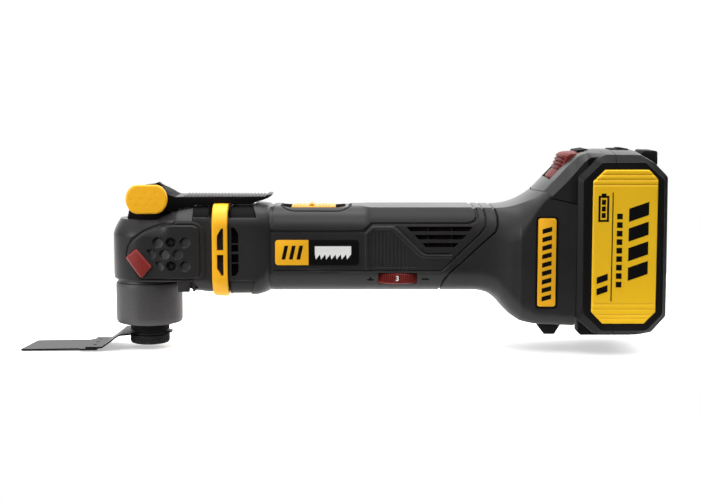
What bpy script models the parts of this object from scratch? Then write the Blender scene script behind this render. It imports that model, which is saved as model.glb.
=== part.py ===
"""Cordless oscillating multi-tool with an offset saw blade, a clamp lever and a slide-on battery pack.

Frame: the origin is on the spindle axis at the clamp knob's flat underside, +Z up,
+X from the head towards the battery, and the tool's left side faces -Y.
Lengths below are in millimetres, and the meshes are built in metres.
"""

import math

import bmesh
import bpy
from mathutils import Matrix, Vector

MM = 0.001

# ---------------------------------------------------------------- driving dimensions
GAP = 0.3
WALL = 2.5
MOTOR_Z = 60.0
LEVER_Z = 92.0
LEVER_OPEN_DEG = 130.0
ROD_TRAVEL = 2.5

HEAD_RADIUS = 22.3
HEAD_SIDE = 24.0
HEAD_BOTTOM = 41.0
HEAD_TOP = 79.0
HEAD_REAR = 30.4
HOUSING_FRONT = 30.7
COLLAR_START = 41.9
COLLAR_END = 52.7
GRIP_START = 79.6
GRIP_LOW = 33.9
GRIP_HIGH = 87.6
GRIP_HALF = 25.0
FLARE_STEP = 243.2
RECEIVER_FACE = 266.0

BEARING_BORE = 7.8
BEARING_OUTER = 12.7
NOSE_RADIUS = 21.0
ECCENTRICITY = 0.9

BLADE_LOW = -2.8
BLADE_FLANGE = 6.6
BLADE_THICK = 1.2

WHEEL_X = 157.0
WHEEL_Y = -4.6
WHEEL_RADIUS = 20.0
WHEEL_LOW = 40.6
WHEEL_HIGH = 47.2

PACK_FRONT = 266.4
PACK_REAR = 322.0
PACK_LOW = 10.0
PACK_HIGH = 122.0
PACK_SPLIT = 288.7
PACK_SIDE = 38.0
PACK_SHOULDER = 30.0
HOOD_FRONT = 243.8
HOOD_BOTTOM = 91.9
HOOD_SIDE = 33.0
BUTTON_SIDE = 22.0

CELL_RADIUS = 9.2
CELL_HALF = 32.5

AXES = {"X": (1, 2, 0), "Y": (0, 2, 1), "Z": (0, 1, 2)}

# Body name to the point that its joint turns about, in millimetres.
BODY_ORIGINS = {
    "housing": (0.0, 0.0, 0.0),
    "rotor": (0.0, 0.0, MOTOR_Z),
    "spindle": (0.0, 0.0, 0.0),
    "clamp": (0.0, 0.0, 0.0),
    "lever": (0.0, 0.0, LEVER_Z),
    "rod": (0.0, 0.0, 0.0),
    "slider": (104.0, 0.0, 84.0),
    "wheel": (WHEEL_X, WHEEL_Y, WHEEL_LOW),
    "battery": (RECEIVER_FACE, 0.0, 0.0),
    "button": (262.0, 0.0, 114.0),
}

# Material name to base colour, roughness and metallic value.
FINISHES = {
    "housing_black": ((0.050, 0.046, 0.048), 0.55, 0.0),
    "trim_black": ((0.012, 0.011, 0.012), 0.5, 0.0),
    "yellow": ((0.98, 0.48, 0.02), 0.45, 0.0),
    "pack_yellow": ((0.86, 0.51, 0.02), 0.45, 0.0),
    "red": ((0.22, 0.02, 0.015), 0.5, 0.0),
    "steel": ((0.30, 0.29, 0.29), 0.35, 1.0),
    "cast_grey": ((0.06, 0.055, 0.057), 0.5, 0.4),
    "copper": ((0.60, 0.27, 0.12), 0.35, 1.0),
    "board_green": ((0.02, 0.10, 0.04), 0.5, 0.0),
    "rubber": ((0.018, 0.017, 0.018), 0.75, 0.0),
    "cell_blue": ((0.05, 0.16, 0.30), 0.4, 0.0),
}


# ---------------------------------------------------------------- scene helpers
def clear_scene():
    for item in list(bpy.data.objects):
        bpy.data.objects.remove(item, do_unlink=True)


def make_material(name):
    colour, roughness, metallic = FINISHES[name]
    material = bpy.data.materials.new(name)
    material.use_nodes = True
    shader = material.node_tree.nodes["Principled BSDF"]
    shader.inputs["Base Color"].default_value = (*colour, 1.0)
    shader.inputs["Roughness"].default_value = roughness
    shader.inputs["Metallic"].default_value = metallic
    material.diffuse_color = (*colour, 1.0)
    return material


def make_body_empty(body):
    empty = bpy.data.objects.new("body_" + body, None)
    empty.location = Vector(BODY_ORIGINS[body]) * MM
    bpy.context.scene.collection.objects.link(empty)
    return empty


def mesh_object(name, points, faces):
    """A mesh object from points in millimetres, with its faces turned outwards."""
    mesh = bpy.data.meshes.new(name)
    mesh.from_pydata([Vector(point) * MM for point in points], [], faces)
    shape = bmesh.new()
    shape.from_mesh(mesh)
    bmesh.ops.recalc_face_normals(shape, faces=shape.faces)
    shape.to_mesh(mesh)
    shape.free()
    item = bpy.data.objects.new(name, mesh)
    bpy.context.scene.collection.objects.link(item)
    return item


def finish_piece(item, body, finish):
    """Gives a piece its material, and moves its origin to its body's joint."""
    origin = Vector(BODY_ORIGINS[body]) * MM
    item.data.transform(Matrix.Translation(-origin))
    item.parent = EMPTIES[body]
    item.data.materials.append(MATERIALS[finish])
    return item


def hide_cutter(item):
    item.hide_render = True
    item.display_type = "WIRE"
    return item


def combine(target, other, operation):
    hide_cutter(other)
    modifier = target.modifiers.new(other.name, "BOOLEAN")
    modifier.operation = operation
    modifier.object = other
    return target


def cut(target, *cutters):
    for cutter in cutters:
        combine(target, cutter, "DIFFERENCE")
    return target


def add(target, *others):
    for other in others:
        combine(target, other, "UNION")
    return target


def keep(target, other):
    return combine(target, other, "INTERSECT")


# ---------------------------------------------------------------- shape helpers
def on_axis(axis, first, second, along):
    """The point with its two cross coordinates and its coordinate along an axis."""
    slots = AXES[axis]
    point = [0.0, 0.0, 0.0]
    point[slots[0]] = first
    point[slots[1]] = second
    point[slots[2]] = along
    return tuple(point)


def loft(name, rings):
    """A closed solid through rings that all have the same number of points."""
    count = len(rings[0])
    points = [point for ring in rings for point in ring]
    faces = []
    for level in range(len(rings) - 1):
        low = level * count
        for index in range(count):
            after = (index + 1) % count
            faces.append((low + index, low + after, low + count + after, low + count + index))
    faces.append(tuple(range(count)))
    faces.append(tuple(range(len(points) - count, len(points))))
    return mesh_object(name, points, faces)


def prism(name, outline, axis, low, high):
    """An outline in the two cross coordinates of an axis, drawn out along it."""
    rings = [[on_axis(axis, a, b, along) for a, b in outline] for along in (low, high)]
    return loft(name, rings)


def box(name, low, high):
    outline = [(low[0], low[1]), (high[0], low[1]), (high[0], high[1]), (low[0], high[1])]
    return prism(name, outline, "Z", low[2], high[2])


def turn_angles(steps):
    return [2.0 * math.pi * index / steps for index in range(steps)]


def circle(radius, centre=(0.0, 0.0), steps=24):
    return [
        (centre[0] + radius * math.cos(angle), centre[1] + radius * math.sin(angle))
        for angle in turn_angles(steps)
    ]


def round_rings(profile, steps):
    """Rings about the Z axis for a solid whose (radius, height) steps are given."""
    return [[(x, y, height) for x, y in circle(radius, steps=steps)] for radius, height in profile]


def cylinder(name, axis, radius, centre, low, high, steps=24):
    return prism(name, circle(radius, centre, steps), axis, low, high)


def turned(name, profile, axis="Z", centre=(0.0, 0.0), steps=28):
    """A closed profile of (radius, along) points turned about an axis, leaving a bore."""
    count = len(profile)
    points = []
    for index in range(steps):
        angle = 2.0 * math.pi * index / steps
        for radius, along in profile:
            first = centre[0] + radius * math.cos(angle)
            second = centre[1] + radius * math.sin(angle)
            points.append(on_axis(axis, first, second, along))
    faces = []
    for index in range(steps):
        here = index * count
        there = ((index + 1) % steps) * count
        for step in range(count):
            after = (step + 1) % count
            faces.append((here + step, here + after, there + after, there + step))
    return mesh_object(name, points, faces)


def ring_tube(name, axis, inner, outer, centre, low, high, steps=28):
    profile = [(inner, low), (outer, low), (outer, high), (inner, high)]
    return turned(name, profile, axis, centre, steps)


def rounded_box(low, high, corner, steps=3):
    """A rectangle's outline, between two corner points, with its corners rounded."""
    points = []
    centres = (
        (high[0] - corner, high[1] - corner, 0),
        (low[0] + corner, high[1] - corner, 90),
        (low[0] + corner, low[1] + corner, 180),
        (high[0] - corner, low[1] + corner, 270),
    )
    for across, up, start in centres:
        for step in range(steps + 1):
            angle = math.radians(start + 90.0 * step / steps)
            points.append((across + corner * math.cos(angle), up + corner * math.sin(angle)))
    return points


def chamfered_box(low, high, corner):
    return rounded_box(low, high, corner, 1)


def section(station, inset=0.0):
    """One cross ring of the housing: (x, half width, low, high, corner radius)."""
    along, half, low, high, corner = station
    outline = rounded_box(
        (-half + inset, low + inset), (half - inset, high - inset), corner - 0.6 * inset, 4
    )
    return [(along, across, up) for across, up in outline]


def arc(centre, radius, start_deg, end_deg, steps):
    return [
        (
            centre[0] + radius * math.cos(math.radians(start_deg + (end_deg - start_deg) * i / steps)),
            centre[1] + radius * math.sin(math.radians(start_deg + (end_deg - start_deg) * i / steps)),
        )
        for i in range(steps + 1)
    ]


def turned_outline(outline, centre, angle_deg):
    """An outline turned about a point."""
    cosine = math.cos(math.radians(angle_deg))
    sine = math.sin(math.radians(angle_deg))
    return [
        (
            centre[0] + (a - centre[0]) * cosine - (b - centre[1]) * sine,
            centre[1] + (a - centre[0]) * sine + (b - centre[1]) * cosine,
        )
        for a, b in outline
    ]


# ---------------------------------------------------------------- head
def head_outline(offset, rear):
    """The head from above: round in front of the spindle, flat-sided behind it."""
    radius = HEAD_RADIUS + offset
    side = HEAD_SIDE + offset
    front = arc((0.0, 0.0), radius, 95.0, 265.0, 16)
    return [(rear, side), (9.0, side)] + front + [(9.0, -side), (rear, -side)]


def head_block(name, offset, levels, rear=HEAD_REAR):
    """The head's outer form: (height, extra inset) for each level."""
    rings = []
    for height, inset in levels:
        rings.append([(x, y, height) for x, y in head_outline(offset - inset, rear)])
    return loft(name, rings)


def hump_outline(offset, rear):
    """The saddle between the head's flat top and the motor housing, from the side."""
    return [
        (6.5 - offset, 70.0),
        (6.5 - offset, HEAD_TOP - 1.0 + offset),
        (13.0, 83.0 + offset),
        (rear, 86.0 + offset),
        (rear, 70.0),
    ]


def make_head_cover():
    outer_levels = [(HEAD_BOTTOM, 0.0), (70.5, 0.0), (HEAD_TOP, 4.6)]
    inner_levels = [(HEAD_BOTTOM - 3.0, 0.0), (68.0, 0.0), (HEAD_TOP - WALL, 4.6)]
    cover = head_block("head_cover", 0.0, outer_levels)
    add(cover, prism("cover_hump", hump_outline(0.0, HEAD_REAR), "Y", -19.0, 19.0))
    for side in (-1, 1):
        outline = [(-7.5, HEAD_TOP - 2.0)] + arc((0.0, LEVER_Z), 7.5, 180.0, 0.0, 8)
        outline.append((7.5, HEAD_TOP - 2.0))
        ear = prism("cover_ear", outline, "Y", side * 6.0, side * 10.0)
        add(cover, ear)
    cut(cover, head_block("cut_head_room", -WALL, inner_levels, HEAD_REAR + 6.0))
    cut(cover, prism("cut_hump_room", hump_outline(-WALL, HEAD_REAR + 6.0), "Y", -16.5, 16.5))
    cut(cover, cylinder("cut_pin_hole", "Y", 3.3, (0.0, LEVER_Z), -12.0, 12.0))
    cut(cover, cylinder("cut_rod_hole", "Z", 3.6, (0.0, 0.0), 70.0, 85.0, 16))
    cut(cover, *screw_holes("cover"))
    return finish_piece(cover, "housing", "housing_black")


def make_gear_case():
    """Die-cast case: the bare nose below the cover, and a tube back to the motor."""
    profile = [
        (20.0, 13.0), (NOSE_RADIUS, 14.0), (NOSE_RADIUS, 38.0), (19.4, 38.6),
        (19.4, HEAD_BOTTOM), (18.6, HEAD_BOTTOM + 0.3), (18.6, 67.0), (14.5, 75.5),
    ]
    case = loft("gear_case", round_rings(profile, 28))
    add(case, cylinder("case_tube", "X", 18.0, (0.0, MOTOR_Z), 12.0, 44.5, 30))
    room = [(12.6, 10.0), (12.6, 15.2), (13.0, 15.2), (13.0, 24.0), (15.6, 24.0), (15.6, 66.0),
            (13.0, 66.0), (13.0, 73.0), (3.4, 73.0), (3.4, 80.0)]
    cut(case, loft("cut_case_room", round_rings(room, 24)))
    cut(case, cylinder("cut_tube_room", "X", 15.3, (0.0, MOTOR_Z), -2.0, 38.5, 26))
    cut(case, cylinder("cut_bearing_seat", "X", 8.3, (0.0, MOTOR_Z), 30.0, 50.0, 24))
    cut(case, *screw_holes("case"))
    return finish_piece(case, "housing", "cast_grey")


SCREW_PLACES = ((17.3, 65.8), (17.3, 51.1))
PANEL_OUTLINE = (
    (-11.0, 59.7), (-0.3, 71.5), (9.1, 75.5), (19.5, 76.3), (20.0, 78.4),
    (32.5, 78.9), (37.0, 76.0), (38.4, 72.4), (38.4, 46.4), (36.0, 43.1), (-0.3, 43.1),
)
ACCENT_CENTRE = (-3.0, 53.0)
ACCENT_SIZE = (8.6, 14.2)
ACCENT_TURN_DEG = 40.0


def screw_holes(owner):
    holes = []
    for x, z in SCREW_PLACES:
        hole = cylinder("cut_screw_" + owner, "Y", 1.8, (x, z), -32.0, 32.0, 12)
        holes.append(hole)
    return holes


def accent_outline(extra):
    half_wide = ACCENT_SIZE[0] / 2.0 + extra
    half_tall = ACCENT_SIZE[1] / 2.0 + extra
    low = (ACCENT_CENTRE[0] - half_wide, ACCENT_CENTRE[1] - half_tall)
    high = (ACCENT_CENTRE[0] + half_wide, ACCENT_CENTRE[1] + half_tall)
    return turned_outline(rounded_box(low, high, 1.6 + extra, 3), ACCENT_CENTRE, ACCENT_TURN_DEG)


def skin_piece(name, outline, side, inner, outer):
    """A piece that follows the head's side wall between two offsets from it."""
    levels = [(HEAD_BOTTOM + 0.6, 0.0), (70.5, 0.0), (HEAD_TOP, 4.6)]
    skin = head_block(name, outer, levels, COLLAR_START - 1.0)
    inner_levels = [(HEAD_BOTTOM - 5.0, 0.0), (70.5, 0.0), (HEAD_TOP, 4.6), (HEAD_TOP + 5.0, 4.6)]
    cut(skin, head_block("cut_under_" + name, inner, inner_levels, COLLAR_START + 4.0))
    cut(skin, box("cut_over_" + name, (HEAD_REAR - 0.6, -24.8, 0.0), (60.0, 24.8, 120.0)))
    keep(skin, prism("keep_" + name, outline, "Y", side * 2.0, side * 40.0))
    return skin


def make_head_trim():
    for side, label in ((-1, "left"), (1, "right")):
        panel = skin_piece("side_panel_" + label, PANEL_OUTLINE, side, GAP, 1.8)
        cut(panel, prism("cut_accent_" + label, accent_outline(GAP), "Y", side * 2.0, side * 40.0))
        cut(panel, *screw_holes("panel_" + label))
        finish_piece(panel, "housing", "housing_black")
        accent = skin_piece("accent_" + label, accent_outline(0.0), side, GAP, 2.6)
        finish_piece(accent, "housing", "red")
        for number, (x, z) in enumerate(SCREW_PLACES, 1):
            face = side * (HEAD_SIDE + 1.8 + GAP)
            screw = cylinder(
                f"panel_screw_{label}_{number}", "Y", 3.1, (x, z), face, face + side * 1.6, 16
            )
            add(screw, cylinder("screw_shank", "Y", 1.4, (x, z), side * 16.0, face + side, 12))
            finish_piece(screw, "housing", "steel")


# ---------------------------------------------------------------- housing shells
HOUSING_STATIONS = (
    (HOUSING_FRONT, 24.0, 34.0, 88.0, 11.0),
    (COLLAR_START - GAP, 24.4, 32.8, 88.0, 11.0),
    (COLLAR_START - GAP + 0.1, 26.0, 33.4, 85.4, 13.0),
    (COLLAR_END + GAP - 0.1, 26.0, 33.4, 85.4, 13.0),
    (COLLAR_END + GAP, 27.8, 31.0, 88.0, 14.0),
    (70.0, 27.8, 31.0, 88.0, 14.0),
    (77.4, 25.6, 33.0, 87.6, 17.0),
    (77.6, 24.6, 35.0, 86.4, 17.5),
    (GRIP_START - 0.2, 24.6, 35.0, 86.4, 17.5),
    (GRIP_START, GRIP_HALF, GRIP_LOW, GRIP_HIGH, 18.5),
    (206.0, GRIP_HALF, GRIP_LOW, GRIP_HIGH, 18.5),
    (213.9, 26.0, 32.4, 87.4, 18.5),
    (217.6, 27.0, 29.7, 87.3, 18.0),
    (221.2, 28.0, 25.7, 87.3, 17.5),
    (227.3, 30.0, 19.9, 88.0, 17.0),
    (233.0, 31.6, 16.8, 90.0, 16.0),
    (239.4, 33.0, 15.5, 92.9, 14.0),
    (FLARE_STEP, 33.6, 15.1, 96.0, 13.0),
    (FLARE_STEP + 0.2, 33.6, 15.1, 91.5, 11.0),
    (RECEIVER_FACE, 34.0, 14.3, 91.5, 10.0),
)
RECEIVER_WALL = 4.0


def housing_block(name, inset):
    rings = []
    for station in HOUSING_STATIONS:
        x = station[0]
        if inset > 0.0:
            if x == HOUSING_FRONT:
                x -= 5.0
            if x == RECEIVER_FACE:
                x -= RECEIVER_WALL
            if x == COLLAR_START - GAP + 0.1:
                x -= inset
            if x == COLLAR_END + GAP - 0.1:
                x += inset
            if x == COLLAR_START - GAP:
                x -= inset + 0.1
            if x == COLLAR_END + GAP:
                x += inset + 0.1
            if x in (FLARE_STEP, FLARE_STEP + 0.2):
                x -= inset
        rings.append(section((x,) + station[1:], inset))
    return loft(name, rings)


def make_housing_half(side, label):
    half = housing_block("housing_" + label, 0.0)
    cut(half, housing_block("cut_room_" + label, WALL))
    tray = box("tray_" + label, (81.5, -14.0, 80.6), (131.5, 14.0, 86.0))
    add(half, tray)
    wall = box("bearing_wall_" + label, (71.5, -24.0, 38.0), (78.5, 24.0, 82.0))
    add(half, wall)
    cut(half, cylinder("cut_rear_seat_" + label, "X", 6.9, (0.0, MOTOR_Z), 73.0, 80.0, 24))
    cut(half, cylinder("cut_shaft_way_" + label, "X", 4.0, (0.0, MOTOR_Z), 70.0, 80.0, 16))
    cut(half, box("cut_switch_recess_" + label, (84.3, -11.6, 83.8), (128.8, 11.6, 92.0)))
    cut(half, box("cut_switch_slot_" + label, (93.0, -2.6, 78.0), (110.0, 2.6, 85.0)))
    cut(half, box("cut_receiver_" + label, (256.0, -21.0, 24.0), (270.0, 21.0, 96.0)))
    cut(half, box("cut_terminal_way_" + label, (248.0, -14.0, 29.0), (258.0, 14.0, 52.0)))
    for row, (start, end, height) in enumerate(((164, 201, 74.1), (169, 197, 69.2), (174, 192, 64.2))):
        slot = box(f"cut_vent_{row}_{label}", (start, -30.0, height - 1.2), (end, 30.0, height + 1.2))
        cut(half, slot)
    for low, high in ((46.0, 57.0), (60.5, 72.0)):
        vent = box(f"cut_exhaust_{label}", (46.1, -40.0, low), (49.7, 40.0, high))
        cut(half, vent)
    cut(half, box("cut_exhaust_rear_" + label, (54.6, -40.0, 45.4), (58.6, 40.0, 75.2)))
    if side < 0:
        window = box("cut_wheel_window", (145.4, -30.0, 39.9), (169.0, -15.0, 47.9))
        cut(half, window)
        centre = (WHEEL_X, WHEEL_Y)
        cut(half, cylinder("cut_wheel_room", "Z", WHEEL_RADIUS + 0.5, centre, 39.9, 47.9, 48))
    away = box("cut_other_" + label, (0.0, side * -60.0, 0.0), (300.0, side * 0.15, 140.0))
    cut(half, away)
    return finish_piece(half, "housing", "housing_black")


def make_collar():
    outer = [
        section((COLLAR_START, 28.4, 30.9, 88.6, 13.5)),
        section((47.3, 29.2, 30.5, 88.9, 13.5)),
        section((COLLAR_END, 28.8, 30.5, 88.8, 13.5)),
    ]
    collar = loft("collar_ring", outer)
    inner = [section((x, 26.4, 33.0, 85.8, 13.2)) for x in (COLLAR_START - 5.0, COLLAR_END + 5.0)]
    cut(collar, loft("cut_collar_bore", inner))
    for near, far in ((61.4, 75.0), (58.7, 45.6)):
        corner = near + (far - near) * 0.66
        outline = [(45.9, near), (49.9, near), (49.9, far), (48.6, far), (45.9, corner)]
        cut(collar, prism("cut_collar_vent", outline, "Y", -40.0, 40.0))
    return finish_piece(collar, "housing", "yellow")


def make_badges():
    for side, label in ((-1, "left"), (1, "right")):
        inner = GRIP_HALF + GAP
        outline = rounded_box((81.3, 51.8), (133.2, 68.0), 3.0)
        plate = prism("badge_" + label, outline, "Y", side * inner, side * (inner + 0.9))
        finish_piece(plate, "housing", "yellow")
        outline = rounded_box((241.7, 27.4), (253.7, 82.0), 2.5)
        low = 34.0 + GAP
        plate = prism("rear_label_" + label, outline, "Y", side * low, side * (low + 0.7))
        finish_piece(plate, "housing", "yellow")


def make_rear_foot():
    outline = [(245.6, 14.3), (245.6, 12.4), (250.0, 6.0), (256.5, 6.0), (260.7, 12.4), (260.7, 14.0)]
    foot = prism("rear_foot", outline, "Y", -14.0, 14.0)
    return finish_piece(foot, "housing", "rubber")


# ---------------------------------------------------------------- motor and drive
def make_motor():
    shaft = cylinder("motor_shaft", "X", 2.6, (0.0, MOTOR_Z), 35.0, 77.2, 16)
    journal = cylinder("shaft_journal", "X", 3.2, (0.0, MOTOR_Z + ECCENTRICITY), 28.6, 36.0, 16)
    add(shaft, journal)
    finish_piece(shaft, "rotor", "steel")

    bearing = ring_tube(
        "eccentric_bearing", "X", 3.5, 7.0, (0.0, MOTOR_Z + ECCENTRICITY), 29.2, 34.4, 20
    )
    finish_piece(bearing, "rotor", "steel")

    weight_outline = [(2.9, 0.0)] + arc((0.0, 0.0), 8.2, 0.0, -180.0, 10) + [(-2.9, 0.0)]
    weight_outline += arc((0.0, 0.0), 2.9, 180.0, 360.0, 8)[1:-1]
    weight_outline = [(a, b + MOTOR_Z) for a, b in weight_outline]
    weight = prism("counterweight", weight_outline, "X", 36.3, 38.2)
    finish_piece(weight, "rotor", "cast_grey")

    fan = ring_tube("cooling_fan", "X", 2.9, 17.0, (0.0, MOTOR_Z), 46.0, 47.2, 24)
    for index in range(9):
        angle = 360.0 * index / 9.0
        outline = [(6.0, -0.6), (19.6, 1.4), (19.6, 2.6), (6.0, 0.6)]
        blade = turned_outline(outline, (0.0, 0.0), angle)
        blade = [(a, b + MOTOR_Z) for a, b in blade]
        add(fan, prism(f"fan_blade_{index}", blade, "X", 46.6, 50.6))
    finish_piece(fan, "rotor", "trim_black")

    core = ring_tube("rotor_core", "X", 2.9, 10.0, (0.0, MOTOR_Z), 53.4, 69.8, 24)
    finish_piece(core, "rotor", "steel")

    stator = ring_tube("stator", "X", 18.5, 22.8, (0.0, MOTOR_Z), 54.2, 69.0, 32)
    for index in range(6):
        angle = 60.0 * index + 30.0
        outline = [(10.6, -4.2), (12.4, -4.2), (12.4, -3.0), (19.5, -3.0),
                   (19.5, 3.0), (12.4, 3.0), (12.4, 4.2), (10.6, 4.2)]
        tooth = [(a, b + MOTOR_Z) for a, b in turned_outline(outline, (0.0, 0.0), angle)]
        add(stator, prism(f"stator_tooth_{index}", tooth, "X", 54.4, 68.8))
    finish_piece(stator, "housing", "copper")

    front = ring_tube("front_motor_bearing", "X", 2.9, 8.0, (0.0, MOTOR_Z), 39.0, 44.0, 24)
    finish_piece(front, "housing", "steel")
    rear = ring_tube("rear_motor_bearing", "X", 2.9, 6.6, (0.0, MOTOR_Z), 73.3, 77.8, 24)
    finish_piece(rear, "housing", "steel")


def make_spindle():
    profile = [
        (4.0, 8.5), (7.5, 8.5), (7.5, 24.4), (8.5, 24.4), (8.5, 65.6), (7.5, 65.6),
        (7.5, 72.4), (6.2, 72.4), (6.2, 36.0), (4.0, 36.0),
    ]
    finish_piece(turned("output_spindle", profile), "spindle", "steel")

    fork = ring_tube("rocker_fork", "Z", 8.8, 13.2, (0.0, 0.0), 54.0, 66.0 - GAP, 28)
    for side in (-1, 1):
        outline = [(6.0, side * 9.2), (35.0, side * 9.2), (35.0, side * 12.4), (4.0, side * 12.4)]
        add(fork, prism("fork_arm", outline, "Z", 54.5, 65.5))
    finish_piece(fork, "spindle", "cast_grey")

    holder = [(BEARING_BORE, 8.1), (12.0, 8.1), (12.0, 14.9), (BEARING_BORE, 14.9)]
    finish_piece(turned("tool_holder", holder), "spindle", "steel")

    for label, low, high in (("lower", 15.5, 23.7), ("upper", 66.3, 72.7)):
        bearing = ring_tube(
            label + "_spindle_bearing", "Z", BEARING_BORE, BEARING_OUTER, (0.0, 0.0), low, high
        )
        finish_piece(bearing, "housing", "steel")


def make_clamp():
    knob = [(11.6, 0.0), (12.5, 0.8), (12.5, 4.8), (11.4, 5.4), (11.4, 6.3), (3.6, 6.3), (3.6, 30.0)]
    finish_piece(loft("clamp_knob", round_rings(knob, 24)), "clamp", "trim_black")

    # place along the blade, height, half width, slant across the blade
    blade_stations = (
        (14.0, BLADE_FLANGE, 4.5, 0.0), (10.0, BLADE_FLANGE, 9.0, 0.0),
        (-7.5, BLADE_FLANGE, 9.6, 0.0), (-13.0, BLADE_FLANGE, 16.4, 0.0),
        (-17.5, BLADE_FLANGE, 17.4, 0.0), (-27.5, BLADE_LOW, 18.0, 0.02),
        (-38.0, BLADE_LOW, 18.0, 0.04), (-38.6, BLADE_LOW, 16.0, 0.04),
        (-77.6, BLADE_LOW - 0.6, 16.2, 0.12),
    )
    rings = []
    for along, height, half, slant in blade_stations:
        ring = []
        for across, up in ((-half, 0.0), (half, 0.0), (half, BLADE_THICK), (-half, BLADE_THICK)):
            ring.append((along + slant * across, across, height + up))
        rings.append(ring)
    blade = loft("saw_blade", rings)
    cut(blade, cylinder("cut_blade_hole", "Z", 4.2, (0.0, 0.0), 0.0, 12.0, 20))
    finish_piece(blade, "clamp", "steel")


def helix(name, mean_radius, wire, low, high, turns, steps, sides):
    """A coil spring about the Z axis, as one swept tube with flat ends."""
    rings = []
    count = turns * steps
    for index in range(count + 1):
        angle = 2.0 * math.pi * index / steps
        height = low + (high - low) * index / count
        ring = []
        for side in range(sides):
            tilt = 2.0 * math.pi * side / sides
            radius = mean_radius + wire * math.cos(tilt)
            point = (radius * math.cos(angle), radius * math.sin(angle), height + wire * math.sin(tilt))
            ring.append(point)
        rings.append(ring)
    return loft(name, rings)


def make_clamp_rod():
    profile = [(2.6, 33.0), (2.6, 66.0), (5.8, 66.0), (5.8, 68.0), (2.6, 68.0), (2.6, 82.0),
               (4.0, 82.0), (4.0, 83.7)]
    finish_piece(loft("clamp_rod", round_rings(profile, 16)), "rod", "steel")
    spring = helix("clamp_spring", 4.4, 0.8, 37.2, 64.9, 6, 12, 5)
    finish_piece(spring, "housing", "steel")


# ---------------------------------------------------------------- lever
def cam_outline():
    """A spiral whose radius grows evenly as the lever opens, so the rod moves evenly."""
    points = [(10.0, LEVER_Z + 6.5)]
    steps = 14
    for index in range(steps + 1):
        share = index / steps
        angle = math.radians(270.0 - LEVER_OPEN_DEG * (1.0 - share))
        radius = 8.0 + ROD_TRAVEL * (1.0 - share)
        points.append((radius * math.cos(angle), LEVER_Z + radius * math.sin(angle)))
    points.append((5.5, LEVER_Z - 6.0))
    points.append((10.0, LEVER_Z - 3.0))
    return points


def make_lever():
    outline = arc((0.0, LEVER_Z), 8.4, 100.0, 250.0, 12)
    outline += [(4.0, 83.2), (20.4, 85.1), (21.0, 85.9), (30.2, 87.4), (31.4, 89.2), (67.0, 89.4),
                (77.8, 93.0), (77.4, 94.0), (66.0, 93.6), (18.0, 93.4), (11.4, 96.8), (8.6, 98.2),
                (5.0, 100.4), (2.0, 100.0)]
    lever = prism("quick_lever", outline, "Y", -19.4, 19.4)
    for side in (-1, 1):
        narrow = [(20.0, side * 40.0), (13.0, side * 40.0), (13.0, side * 20.0), (24.0, side * 15.5),
                  (70.0, side * 13.0), (78.5, side * 10.0), (79.0, side * 40.0)]
        cut(lever, prism("cut_lever_side", narrow, "Z", 80.0, 110.0))
    cut(lever, box("cut_lever_fork", (-20.0, -10.5, 70.0), (8.7, 10.5, 110.0)))
    add(lever, prism("lever_cam", cam_outline(), "Y", -5.4, 5.4))
    cut(lever, cylinder("cut_lever_pin", "Y", 3.3, (0.0, LEVER_Z), -30.0, 30.0))
    finish_piece(lever, "lever", "trim_black")

    finish_piece(cylinder("lever_pin", "Y", 3.0, (0.0, LEVER_Z), -19.3, 19.3), "lever", "steel")
    for side, label, size in ((-1, "left", 1.0), (1, "right", 0.72)):
        rings = []
        for share, depth in ((1.0, 19.7), (1.0, 22.2), (0.9, 23.2)):
            length, height = 13.0 * size * share, 9.0 * size * share
            rings.append([(1.0 + length * math.cos(t), side * depth, LEVER_Z + 0.6 + height * math.sin(t))
                          for t in turn_angles(28)])
        finish_piece(loft("lever_cap_" + label, rings), "lever", "yellow")


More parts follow.
